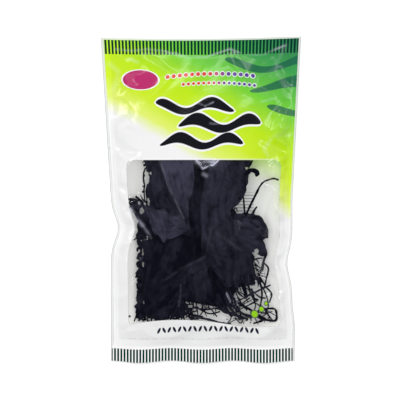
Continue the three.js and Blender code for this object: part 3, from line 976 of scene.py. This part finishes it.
frondMesh = {  # tears, drift and sway are the spacing and the reach of a random line
    "step": 1.05, "ridges": [(9.0, 0.13), (5.4, 0.07)], "drift": (26.0, 1.6), "phases": (0.0, 6.3),
    "curl": 0.7, "curlPower": 6, "tears": [(9.0, 0.6), (2.6, 0.4)],
    "spikeReach": 6.0, "spikeSpacing": 3.4, "spikeFrom": 0.55,
    "crinkles": 8, "across": (4.0, 12.0), "along": (6.0, 24.0), "crinkle": 0.15,
    "sway": (21.0, 0.5), "swayEdge": 0.5, "sharp": 60.0,
}
bundles = {  # path of across, along and half width, then layer, tones from head to tail and raggedness; the tones are partly the fronds' own tone and partly painted sheen and shade, lighter where the film presses on them
    "wakame_back": [
        ([(-27, 88, 5), (-32, 40, 10), (-38, -20, 13), (-42, -70, 12), (-48, -104, 8)], 0.19,
         (0.14, 0.09), 0.10),
        ([(-17, 94, 7), (-19, 40, 12), (-20, -20, 15), (-22, -70, 15), (-34, -106, 9)], 0.15,
         (0.14, 0.09), 0.10),
        ([(-6, 96, 8), (-4, 40, 13), (-2, -20, 16), (-4, -70, 15), (-12, -100, 9)], 0.22,
         (0.20, 0.32, 0.17), 0.10),
        ([(6, 94, 7), (12, 40, 12), (16, -20, 15), (14, -70, 13), (4, -98, 8)], 0.16, (0.18, 0.11), 0.10),
        ([(15, 88, 5), (21, 36, 7), (22, -12, 8), (28, -60, 10), (24, -88, 6)], 0.13, (0.16, 0.10), 0.10),
    ],
    "wakame_lower": [
        ([(-10, -8, 36), (-3, -45, 52), (-8, -72, 49), (-12, -90, 43), (-14, -101, 39)], 0.38,
         (0.26, 0.18, 0.0, 0.03, 0.03), 0.05),
        ([(-50, -14, 7), (-54, -31, 11), (-52.5, -50, 9), (-53, -80, 8.8), (-55, -100, 8.5),
          (-60, -119, 5)], 0.45, (0.10, 0.12, 0.04, 0.04), 0.32),
        ([(-28, -34, 12), (-40, -64, 13), (-45, -92, 12), (-50, -118, 8)], 0.49,
         (0.22, 0.10, 0.04, 0.07), 0.12),
        ([(-12, -36, 12), (-21, -66, 15), (-26, -92, 13), (-34, -117, 9)], 0.46, (0.0, 0.0, 0.06, 0.08), 0.2),
        ([(8, -57, 3), (0, -66, 8), (-14, -77, 12), (-30, -90, 13), (-46, -105, 9)], 0.52,
         (0.26, 0.22, 0.12, 0.08, 0.08), 0.05),
        ([(6, -57, 2), (0, -66, 7), (-3.5, -78, 13), (-1, -90, 16), (-2, -101, 14)], 0.54,
         (0.25, 0.23, 0.18, 0.08), 0.06),
        ([(13, -60, 5), (15, -74, 7), (18, -88, 7), (21, -102, 5)], 0.47, (0.0, 0.0, 0.06), 0.16),
        ([(26, -36, 14), (34, -58, 18), (39, -74, 15), (41, -86, 11)], 0.54, (0.36, 0.28, 0.26, 0.30), 0.12),
        ([(-22, -97, 6), (-34, -109, 8), (-47, -118, 6)], 0.52, (0.14, 0.09), 0.16),
        ([(-30, -100, 9), (-24, -109, 9), (-20, -117, 5)], 0.47, (0.08, 0.05), 0.5),
        ([(20, -78, 7), (24, -92, 6), (28, -104, 4)], 0.50, (0.06, 0.04), 0.3),
        # a dark sliver with painted shade, standing for the shadowed slit between two fronds
        ([(-44, -110, 0.4), (-36, -101, 2.6), (-27, -91, 2.4), (-21, -84, 0.4)], 0.58, (-0.4, -0.4), 0.1),
    ],
    "wakame_left_fold": [
        ([(-70, 0, 3), (-64, -6, 6), (-54, -19, 7), (-43, -34, 5), (-35, -45, 2)], 0.66,
         (0.4, 0.25, 0.0, 0.0, 0.0), 0.1),
        ([(-46, 0, 8), (-45, -9, 10), (-40.5, -21, 7.5), (-38, -32, 4.5), (-36.5, -42, 1)], 0.72,
         (0.64, 0.78), 0.04),
        ([(-46, -14, 8), (-36, -23, 15), (-27, -23.5, 13.5), (-19, -22, 10.5), (-12, -21, 7)], 0.71,
         (0.70, 0.68, 0.64), 0.04),
    ],
    "wakame_right_fold": [
        ([(20, -19, 8), (36, -25, 12), (50, -28, 13.5), (58, -31, 11), (64, -38, 4)], 0.69,
         (0.08, 0.24, 0.46, 0.46, 0.2), 0.2),
        ([(32, -32, 10), (44, -40, 11.5), (56, -46, 8), (63, -55, 2)], 0.65, (0.30, 0.36, 0.28, 0.12), 0.16),
    ],
    "wakame_upper_left": [
        ([(-38, 60, 10), (-33, 22, 12), (-28, 2, 12), (-22, -14, 8)], 0.80, (0.1, 0.1, 0.16, 0.36), 0.06),
        ([(-45, 95, 11), (-46, 52, 12), (-43.5, 24, 10), (-43, 8, 11), (-40, -9, 14)], 0.83,
         (0.1, 0.1, 0.1, 0.1, 0.2, 0.3, 0.46, 0.14, 0.28), 0.14),
        ([(-26, 98, 13), (-25.5, 60, 16), (-24, 39, 16.5), (-22, 28, 15), (-20.4, 16, 13.4), (-19.2, 8, 11.5),
          (-18.6, 2, 8), (-17, -4, 5), (-15.2, -10, 3), (-14.2, -20, 1.6), (-13.6, -28, 0.6)], 0.88,
         (1.5, 1.5, 1.5, 1.5, 1.3, 0.85, 0.62, 0.42, 0.36), 0.06),
    ],
    "wakame_upper_right": [
        ([(38, 97, 9), (35, 60, 13), (34, 32, 14), (32, 16, 13.5), (26.5, 4, 13), (20, -8, 10), (21, -24, 11),
          (26, -46, 8)], 0.85, (0.26, 0.26, 0.26, 0.28, 0.34, 0.33, 0.28), 0.16),
        ([(20, 98, 8), (19, 60, 10), (18, 32, 10), (14, 14, 11), (11, -6, 12), (12, -20, 12), (12, -44, 11.5),
          (17, -58, 11.5), (22, -66, 10), (26, -76, 7), (28, -86, 2)], 0.88,
         (0.75, 0.75, 0.75, 0.62, 0.38, 0.33, 0.32, 0.22, 0.20), 0.07),
        ([(18, -18, 10), (23, -44, 12), (27, -64, 12), (30, -84, 7)], 0.84, (0.28, 0.24), 0.08),
    ],
}
holes = {  # across, along, half width, half height
    "wakame_upper_left": [
        (-53, 22, 1.6, 6.0), (-50, 26.5, 1.2, 1.5), (-52, -2, 1.1, 4.4), (-50, -11.5, 1.0, 1.0),
    ],
    "wakame_left_fold": [
        (-58.8, -11, 2.2, 3.4), (-61.5, -3.2, 1.0, 2.2), (-52, -2, 1.1, 4.4), (-45, -11, 0.8, 0.9),
    ],
    "wakame_right_fold": [(55, -51, 2.2, 2.6)],
    "wakame_lower": [
        (-58, -52, 0.8, 3.6), (-57.5, -64, 0.9, 2.6), (-53.5, -89, 1.0, 1.9), (-57, -102, 0.9, 1.6),
        (-58, -118, 1.0, 1.0), (-54.5, -117, 0.9, 0.9), (57, -55, 3.0, 3.4), (-31, -116, 1.6, 1.0),
        (-26, -117, 1.1, 0.9),
    ],
    "wakame_upper_right": [(45, 31, 2.6, 1.3)],
}


def frondSheet(spec, rng):
    path, layer, tonesAndPaintedLight, ragged = spec
    along, line = curvePoints(path, frondMesh["step"])
    x, y, half = line.T
    heading = np.gradient(line[:, :2], axis=0)
    heading /= np.linalg.norm(heading, axis=1)[:, None]
    count = max(5, int(round(2 * half.max() / frondMesh["step"])) + 1)
    share = np.linspace(-1.0, 1.0, count)[None, :]
    edges = []
    for side in range(2):
        torn = sum(wander(rng, along, *tear) for tear in frondMesh["tears"])
        spikes = np.maximum(0.0, wander(rng, along, frondMesh["spikeSpacing"]) - frondMesh["spikeFrom"])
        edges.append(half * (1.0 + ragged * torn) + frondMesh["spikeReach"] * ragged * spikes)
    reach = share * np.where(share > 0, edges[0][:, None], edges[1][:, None])
    px = x[:, None] - heading[:, 1:2] * reach
    py = y[:, None] + heading[:, 0:1] * reach
    relief = -frondMesh["curl"] * np.abs(share) ** frondMesh["curlPower"] * np.ones_like(px)
    for length, height in frondMesh["ridges"]:
        drift = wander(rng, along, *frondMesh["drift"])[:, None]
        relief += height * np.sin(2 * math.pi * reach / length + drift + rng.uniform(*frondMesh["phases"]))
    for number in range(frondMesh["crinkles"]):
        slant = rng.choice((-1.0, 1.0)) * along[:, None] / rng.uniform(*frondMesh["along"])
        turns = reach / rng.uniform(*frondMesh["across"]) + slant + rng.uniform()
        relief += frondMesh["crinkle"] * np.sin(2 * math.pi * turns)
    sway = wander(rng, along, *frondMesh["sway"])[:, None]
    relief += sway * (1.0 - frondMesh["swayEdge"] * share ** 2)
    pz = between(px, py, layer) + relief
    seed = np.full_like(px, rng.uniform(*wakame["grainSeeds"]))
    grain = np.stack((reach, along[:, None] * np.ones_like(px), seed), axis=2)
    # tone along the frond, from head to tail: partly its own tone, partly painted sheen and shade
    toneAndPaintedLight = np.interp(along / along[-1], np.linspace(0.0, 1.0, len(tonesAndPaintedLight)), tonesAndPaintedLight)
    return np.stack((px, py, pz), axis=2), grain, np.repeat(toneAndPaintedLight[:, None], count, axis=1)


def openHoles(faces, points, gaps):
    middle = points[faces].mean(axis=1)
    keep = np.ones(len(faces), dtype=bool)
    for x, y, halfWide, halfTall in gaps:
        keep &= ((middle[:, 0] - x) / halfWide) ** 2 + ((middle[:, 1] - y) / halfTall) ** 2 > 1.0
    return faces[keep]


def makeFronds(node, seed):
    rng = np.random.default_rng(seed)
    points, grainRows, tonesAndPaintedLight, faces = [], [], [], []
    start = 0
    for spec in bundles[node]:
        place, grain, toneAndPaintedLight = frondSheet(spec, rng)
        faces.append(gridFaces(*place.shape[:2], start))
        start += place.shape[0] * place.shape[1]
        points.append(place.reshape(-1, 3))
        grainRows.append(grain.reshape(-1, 3))
        tonesAndPaintedLight.append(toneAndPaintedLight.ravel())
    points = np.vstack(points)
    faces = openHoles(np.vstack(faces), points, holes.get(node, []))
    piece = newPiece(node.replace("wakame", "fronds"), points, faces.tolist())
    setValues(piece, "grain", "FLOAT_VECTOR", np.vstack(grainRows))
    setValues(piece, "toneAndPaintedLight", "FLOAT", np.concatenate(tonesAndPaintedLight))
    wall = piece.modifiers.new("thickness", "SOLIDIFY")
    wall.thickness = wakame["thick"] * mm
    wall.offset = 0.0
    plainMesh(piece)
    smoothFaces(piece, frondMesh["sharp"])
    piece.data.materials.append(frondSkin)
    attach(piece, "root")
    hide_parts(node)
    return piece


# Strands: thin torn threads, as tubes along guide lines

strandMesh = {  # sway and girthSway are the spacing and the reach of a random line
    "step": 1.4, "sides": 7, "flatten": 0.62, "bolder": 1.32,
    "sway": (7.0, 0.35), "girthSway": (3.0, 0.25), "tonesAndPaintedLight": (0.0, 0.35),
}
strands = {  # points across and along, layer at both ends, half width at both ends
    "wakame_right_fold": [
        ([(43, -18), (50, -3), (55, 7), (58, 13), (62, 18), (67, 20), (72, 21.4), (77, 20)],
         (0.69, 0.76), (0.95, 0.8)),
        ([(43.5, -16), (42.5, -3), (42, 4), (41.5, 10)], (0.69, 0.64), (0.8, 0.5)),
        ([(49, -18), (53, -10), (55.5, -6.5)], (0.69, 0.7), (1.0, 0.7)),
        ([(50, -18), (56, -16.6), (59.4, -18.6), (61.4, -24), (65, -32), (65.4, -38)],
         (0.69, 0.66), (1.5, 1.2)),
    ],
    "wakame_upper_right": [
        ([(43, 24), (46, 27), (49, 29.6), (55, 28.4), (56, 26), (53.6, 24.6)], (0.86, 0.86), (1.9, 1.7)),
        ([(44, 42), (46, 34), (48, 33.6), (51, 40), (53, 47)], (0.86, 0.86), (0.8, 0.6)),
        ([(33, -5), (37, -2), (40, 2), (39, 4.4), (36.6, 3)], (0.86, 0.85), (1.2, 0.7)),
        ([(30, -16), (33, -9), (35, -8), (36, -12)], (0.86, 0.84), (0.8, 0.4)),
        ([(14, 24), (9, 28), (3, 31), (-4, 30)], (0.87, 0.86), (0.9, 0.5)),
    ],
    "wakame_upper_left": [
        ([(-55, 32), (-56.7, 26), (-56.8, 19), (-55.7, 14), (-56.5, 10), (-56, 4), (-55.6, -1)],
         (0.84, 0.84), (0.7, 0.6)),
        ([(-53, -3), (-56, -1), (-58, 1), (-60, 5)], (0.84, 0.8), (0.9, 0.3)),
        ([(-34.6, 22), (-29, 7), (-23, -5), (-17.5, -15)], (0.9, 0.9), (0.35, 0.3)),
    ],
    "wakame_left_fold": [
        ([(-64, -2.6), (-69, 0.2), (-74, 1.6)], (0.68, 0.7), (2.0, 0.9)),
        ([(-57, -3.4), (-61, 0.4), (-65, 3.6)], (0.69, 0.7), (1.1, 0.8)),
        ([(-62, -12), (-67, -8), (-70.6, -6.4)], (0.67, 0.69), (1.5, 0.8)),
    ],
    "wakame_lower": [
        ([(60, -43), (64.5, -52), (62, -62), (61, -68), (58, -75)], (0.6, 0.54), (1.3, 1.0)),
        ([(51, -60), (57, -58), (62, -58)], (0.55, 0.56), (0.6, 0.5)),
        ([(62, -62), (67, -68), (65, -78), (63.5, -85)], (0.56, 0.58), (0.7, 0.6)),
        ([(60, -70), (58, -75), (62, -82), (64.5, -87)], (0.56, 0.58), (0.9, 0.6)),
        ([(44, -96), (52, -92.5), (61, -88), (69, -84.5)], (0.55, 0.62), (1.0, 0.6)),
        ([(63, -85), (70, -93), (68, -102)], (0.58, 0.62), (0.8, 0.7)),
        ([(41, -82), (44, -91), (45, -97)], (0.55, 0.55), (2.0, 1.5)),
        ([(50, -88), (52, -94), (53, -98), (57, -99.5)], (0.55, 0.56), (1.0, 0.9)),
        ([(26, -90), (34, -100), (40, -104), (49, -109), (57, -114.5), (62.5, -119), (52, -123)],
         (0.5, 0.6), (1.1, 0.8)),
        ([(30, -104), (40, -112), (48, -116), (56, -116), (62, -120)], (0.5, 0.58), (1.2, 0.8)),
        ([(56, -110.5), (67, -108), (74, -109), (75.4, -117), (73, -120.4), (63, -119)],
         (0.58, 0.6), (0.7, 1.0)),
        ([(65, -109), (67, -114), (71.5, -120)], (0.6, 0.6), (0.5, 0.5)),
        ([(61, -116), (67, -112), (71, -111)], (0.6, 0.6), (0.5, 0.4)),
        ([(34, -117), (39.5, -122.6), (42.8, -117)], (0.5, 0.5), (0.6, 0.5)),
        ([(27, -88), (33, -100), (38, -110), (41, -119)], (0.54, 0.5), (0.9, 0.7)),
        ([(32, -84), (36, -95), (41, -104), (46, -110)], (0.55, 0.52), (0.7, 0.6)),
        ([(36, -86), (37, -92), (43, -97)], (0.54, 0.52), (0.8, 0.5)),
        ([(58, -80), (60.5, -90), (60, -100), (57, -112)], (0.56, 0.58), (0.8, 0.6)),
        ([(61, -86), (65, -95), (67, -104), (66, -109)], (0.58, 0.6), (0.7, 0.5)),
        ([(47, -84), (49, -92), (54, -103), (53, -110)], (0.54, 0.56), (0.7, 0.5)),
        ([(16, -94), (22, -104), (31, -116)], (0.48, 0.48), (1.9, 1.0)),
        ([(22, -92), (28, -106), (40, -119)], (0.5, 0.48), (1.5, 0.8)),
        ([(15, -100), (22, -110), (30, -113)], (0.46, 0.5), (1.7, 0.9)),
        ([(22, -109), (33, -114), (47, -118.6)], (0.47, 0.5), (1.3, 1.0)),
        ([(-10, -115), (-1, -117), (12, -120), (21, -122.4), (30, -123)], (0.44, 0.5), (1.1, 0.5)),
        ([(-8, -107), (4, -109), (15, -108), (22, -110)], (0.44, 0.46), (0.6, 0.6)),
        ([(-3, -117), (7, -107), (16, -116)], (0.44, 0.46), (0.5, 0.5)),
        ([(-6, -106), (8, -113), (19, -111)], (0.44, 0.46), (0.6, 0.5)),
        ([(-59, -99), (-63, -104), (-66, -107)], (0.45, 0.46), (1.6, 0.8)),
        ([(-60, -110), (-64, -115), (-66.6, -121)], (0.45, 0.44), (1.3, 0.4)),
        ([(-60, -35), (-63.4, -37.4), (-67, -40)], (0.46, 0.48), (1.1, 0.3)),
        ([(-58, -56), (-61.5, -64), (-64.6, -64.4)], (0.46, 0.48), (1.2, 0.5)),
        ([(-57, -68), (-61, -73), (-64, -75)], (0.46, 0.48), (1.6, 0.6)),
        ([(-18, -83), (-19.6, -97), (-23, -110)], (0.53, 0.53), (0.4, 0.3)),
        ([(-19, -102), (-14, -104), (-9, -103.6)], (0.46, 0.46), (0.9, 0.5)),
        ([(-17, -105), (-12, -108), (-7, -107.4)], (0.46, 0.46), (1.1, 0.5)),
        ([(-16, -108), (-9, -111), (-3, -110)], (0.46, 0.46), (1.2, 0.4)),
        ([(-15, -111), (-10, -114), (-4, -115), (2, -116.4)], (0.46, 0.46), (1.1, 0.6)),
        ([(-14, -104), (-12, -112), (-11.5, -118)], (0.46, 0.46), (0.9, 0.5)),
        ([(-13, -115), (-8, -118), (-2, -118.6)], (0.46, 0.46), (1.0, 0.4)),
    ],
}
fringes = [  # node, first and last root, reach, spread of the tip, count, layer, half width
    ("wakame_lower", (-61, -26), (-61.5, -116), (-1.6, -3.0), 1.7, 26, 0.46, 1.5),
    ("wakame_lower", (-60, -113), (-8, -112), (0.6, -7.5), 2.8, 32, 0.44, 0.8),
    ("wakame_lower", (-10, -102), (17, -98), (1.0, -10.0), 6.0, 16, 0.46, 0.5),
    ("wakame_lower", (18, -96), (36, -108), (3.0, -6.0), 4.0, 18, 0.47, 0.7),
    ("wakame_lower", (24, -80), (58, -76), (2.2, -8.0), 3.0, 24, 0.55, 0.75),
    ("wakame_lower", (52, -56), (60, -80), (4.0, -3.6), 2.4, 12, 0.55, 0.6),
    ("wakame_upper_left", (-56, 50), (-56, 8), (-1.4, -2.2), 1.2, 9, 0.83, 0.7),
    ("wakame_upper_right", (46, 52), (39, 2), (1.8, -2.0), 1.6, 10, 0.85, 0.6),
    ("wakame_left_fold", (-66, -10), (-46, -36), (-1.8, -1.6), 1.2, 9, 0.67, 0.6),
    ("wakame_right_fold", (44, -16), (65, -34), (1.8, 1.2), 1.4, 8, 0.69, 0.8),
]
fringeLook = {"jitter": 1.2, "lengths": (0.45, 1.25), "rooted": 0.4, "widths": (0.8, 1.5), "tip": 0.5}
tangle = {
    "node": "wakame_lower", "count": 23, "x": (-18.0, 66.0), "y": (-121.0, -96.0), "long": (12.0, 30.0),
    "half": 0.5, "widths": (0.8, 1.5), "tip": 0.3, "flatter": 0.55, "bend": 5.0, "layers": (0.3, 0.6),
    "least": (-30.0, -124.0), "most": (75.0, -80.0),
}


def makeTree(name, takes, gives):
    tree = bpy.data.node_groups.new(name, "GeometryNodeTree")
    for label, kind in takes.items():
        tree.interface.new_socket(label, in_out="INPUT", socket_type="NodeSocket" + kind)
    tree.interface.new_socket(gives, in_out="OUTPUT", socket_type="NodeSocketGeometry")
    return tree, tree.nodes.new("NodeGroupInput"), tree.nodes.new("NodeGroupOutput")


def linkAll(tree, *pairs):
    for source, target in pairs:
        tree.links.new(source, target)


def endTree(tree, shape, start, end):  # made real, given its skin and sent out
    realize = tree.nodes.new("GeometryNodeRealizeInstances")
    skin = tree.nodes.new("GeometryNodeSetMaterial")
    linkAll(
        tree, (shape.outputs[0], realize.inputs[0]), (realize.outputs[0], skin.inputs[0]),
        (start.outputs["Skin"], skin.inputs["Material"]), (skin.outputs[0], end.inputs[0]),
    )


def strandTubeTree():
    takes = {"Guides": "Geometry", "Sides": "Int", "Section": "Vector", "Skin": "Material"}
    tree, start, end = makeTree("strandTube", takes, "Tubes")
    toCurve = tree.nodes.new("GeometryNodeMeshToCurve")
    upright = tree.nodes.new("GeometryNodeSetCurveNormal")
    upright.mode = "Z_UP"
    circle = tree.nodes.new("GeometryNodeCurvePrimitiveCircle")
    circle.inputs["Radius"].default_value = 1.0
    flatten = tree.nodes.new("GeometryNodeTransform")
    girth = tree.nodes.new("GeometryNodeInputNamedAttribute")
    girth.inputs["Name"].default_value = "girth"
    toTube = tree.nodes.new("GeometryNodeCurveToMesh")
    toTube.inputs["Fill Caps"].default_value = True
    soft = tree.nodes.new("GeometryNodeSetShadeSmooth")
    linkAll(
        tree, (start.outputs["Guides"], toCurve.inputs[0]), (toCurve.outputs[0], upright.inputs[0]),
        (start.outputs["Sides"], circle.inputs[0]), (circle.outputs[0], flatten.inputs[0]),
        (start.outputs["Section"], flatten.inputs["Scale"]), (upright.outputs[0], toTube.inputs[0]),
        (flatten.outputs[0], toTube.inputs[1]), (girth.outputs[0], toTube.inputs["Scale"]),
        (toTube.outputs[0], soft.inputs[0]),
    )
    endTree(tree, soft, start, end)
    return tree


strandTube = strandTubeTree()


def runTree(piece, tree, **values):  # a Geometry Nodes modifier, set and made plain
    modifier = piece.modifiers.new(tree.name, "NODES")
    modifier.node_group = tree
    for socket in tree.interface.items_tree:
        if socket.in_out == "INPUT" and socket.name in values:
            modifier[socket.identifier] = values[socket.name]
    plainMesh(piece)


def fringeStrands(node, rng):
    jitter = fringeLook["jitter"]
    found = []
    for owner, first, last, reach, spread, count, layer, half in fringes:
        if owner != node:
            continue
        first, last, reach = np.array((first, last, reach))
        for share in np.linspace(0.0, 1.0, count):
            root = first + (last - first) * share + rng.uniform(-jitter, jitter, 2)
            tip = root + reach * rng.uniform(*fringeLook["lengths"]) + rng.uniform(-spread, spread, 2)
            knee = (root + tip) / 2 + rng.uniform(-jitter, jitter, 2)
            path = [root - fringeLook["rooted"] * (tip - root), knee, tip]
            halves = (half * rng.uniform(*fringeLook["widths"]), fringeLook["tip"] * half)
            found.append((path, (layer, layer), halves))
    return found


def tangleStrands(rng):
    found = []
    for number in range(tangle["count"]):
        root = np.array((rng.uniform(*tangle["x"]), rng.uniform(*tangle["y"])))
        turn = rng.uniform(0, 2 * math.pi)
        heading = np.array((math.cos(turn), tangle["flatter"] * math.sin(turn)))
        tip = np.clip(root + rng.uniform(*tangle["long"]) * heading, tangle["least"], tangle["most"])
        knee = (root + tip) / 2 + rng.uniform(-tangle["bend"], tangle["bend"], 2)
        layer = rng.uniform(*tangle["layers"])
        halves = (tangle["half"] * rng.uniform(*tangle["widths"]), tangle["tip"])
        found.append(([root, knee, tip], (layer, layer), halves))
    return found


def makeStrands(node, seed):
    rng = np.random.default_rng(seed)
    lines = strands.get(node, []) + fringeStrands(node, rng)
    if node == tangle["node"]:
        lines = lines + tangleStrands(rng)
    points, edges, girths, grainRows, tonesAndPaintedLight = [], [], [], [], []
    start = 0
    for path, layers, halves in lines:
        along, line = curvePoints(path, strandMesh["step"])
        share = along / along[-1]
        layer = layers[0] + (layers[1] - layers[0]) * share
        x, y = line.T
        z = between(x, y, layer) + wander(rng, along, *strandMesh["sway"])
        points.append(np.stack((x, y, z), axis=1))
        number = np.arange(start, start + len(x))
        edges += list(zip(number[:-1].tolist(), number[1:].tolist()))
        start += len(x)
        girth = halves[0] + (halves[1] - halves[0]) * share
        girths.append(girth * (1.0 + wander(rng, along, *strandMesh["girthSway"])))
        seed = np.full(len(x), rng.uniform(*wakame["grainSeeds"]))
        grainRows.append(np.stack((0.0 * along, along, seed), axis=1))
        tonesAndPaintedLight.append(np.full(len(x), rng.uniform(*strandMesh["tonesAndPaintedLight"])))
    piece = newPiece(node.replace("wakame", "strands"), np.vstack(points), [], edges)
    setValues(piece, "girth", "FLOAT", np.concatenate(girths) * strandMesh["bolder"] * mm)
    setValues(piece, "grain", "FLOAT_VECTOR", np.vstack(grainRows))
    setValues(piece, "toneAndPaintedLight", "FLOAT", np.concatenate(tonesAndPaintedLight))
    section = (1.0, strandMesh["flatten"], 1.0)
    runTree(piece, strandTube, Sides=strandMesh["sides"], Section=section, Skin=strandSkin)
    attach(piece, "root")
    return piece


# Crumbs: broken bits that lie on the back film

crumbs = {
    "seed": 8, "lone": (-71.5, -116.7), "loneBits": 9, "count": 48, "half": 0.75, "tonesAndPaintedLight": (0.0, 0.4),
    "near": [(-40, -121, 22), (40, -119, 30)], "spread": 2.6, "limits": (-126.0, -104.0),
    "facets": 2, "turn": (0.4, 0.4, 6.3), "least": (0.6, 0.4, 0.5), "most": (2.2, 1.0, 0.7),
}


def crumbTree():
    takes = {"Places": "Geometry", "Half": "Float", "Seed": "Int", "Skin": "Material"}
    tree, start, end = makeTree("crumbScatter", takes, "Bits")
    ball = tree.nodes.new("GeometryNodeMeshIcoSphere")
    ball.inputs["Subdivisions"].default_value = crumbs["facets"]
    turn = tree.nodes.new("FunctionNodeRandomValue")
    turn.data_type = "FLOAT_VECTOR"
    turn.inputs["Max"].default_value = crumbs["turn"]
    size = tree.nodes.new("FunctionNodeRandomValue")
    size.data_type = "FLOAT_VECTOR"
    setInputs(size, {"Min": crumbs["least"], "Max": crumbs["most"]})
    spread = tree.nodes.new("GeometryNodeInstanceOnPoints")
    linkAll(
        tree, (start.outputs["Places"], spread.inputs["Points"]),
        (start.outputs["Half"], ball.inputs["Radius"]),
        (ball.outputs[0], spread.inputs["Instance"]), (turn.outputs[0], spread.inputs["Rotation"]),
        (size.outputs[0], spread.inputs["Scale"]), (start.outputs["Seed"], turn.inputs["Seed"]),
        (start.outputs["Seed"], size.inputs["Seed"]),
    )
    endTree(tree, spread, start, end)
    return tree


def makeCrumbs():
    rng = np.random.default_rng(crumbs["seed"])
    places = list(np.array(crumbs["lone"]) + rng.normal(0, crumbs["half"], (crumbs["loneBits"], 2)))
    for number in range(crumbs["count"]):
        x, y, reach = crumbs["near"][number % len(crumbs["near"])]
        x += rng.normal(0, reach / 2)
        y += rng.normal(0, crumbs["spread"])
        places.append((x, np.clip(y, *crumbs["limits"])))
    x, y = np.array(places).T
    points = np.stack((x, y, backHeight(x, y) + pouch["film"] + crumbs["half"]), axis=1)
    piece = newPiece("wakameCrumbs", points, [])
    setValues(piece, "grain", "FLOAT_VECTOR", points)
    setValues(piece, "toneAndPaintedLight", "FLOAT", rng.uniform(*crumbs["tonesAndPaintedLight"], len(x)))
    runTree(piece, crumbTree(), Half=crumbs["half"] * mm, Seed=crumbs["seed"], Skin=strandSkin)
    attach(piece, "root")
    return piece


firstSeed = {"fronds": 100, "strands": 200}
for number, node in enumerate(bundles):
    makeFronds(node, firstSeed["fronds"] + number)
    if node in strands:
        makeStrands(node, firstSeed["strands"] + number)
makeCrumbs()

backFilm = makeBackFilm()
frontFilm = makeFrontFilm()
print("stage: films made,", len(frontFilm.data.polygons) + len(backFilm.data.polygons), "faces")
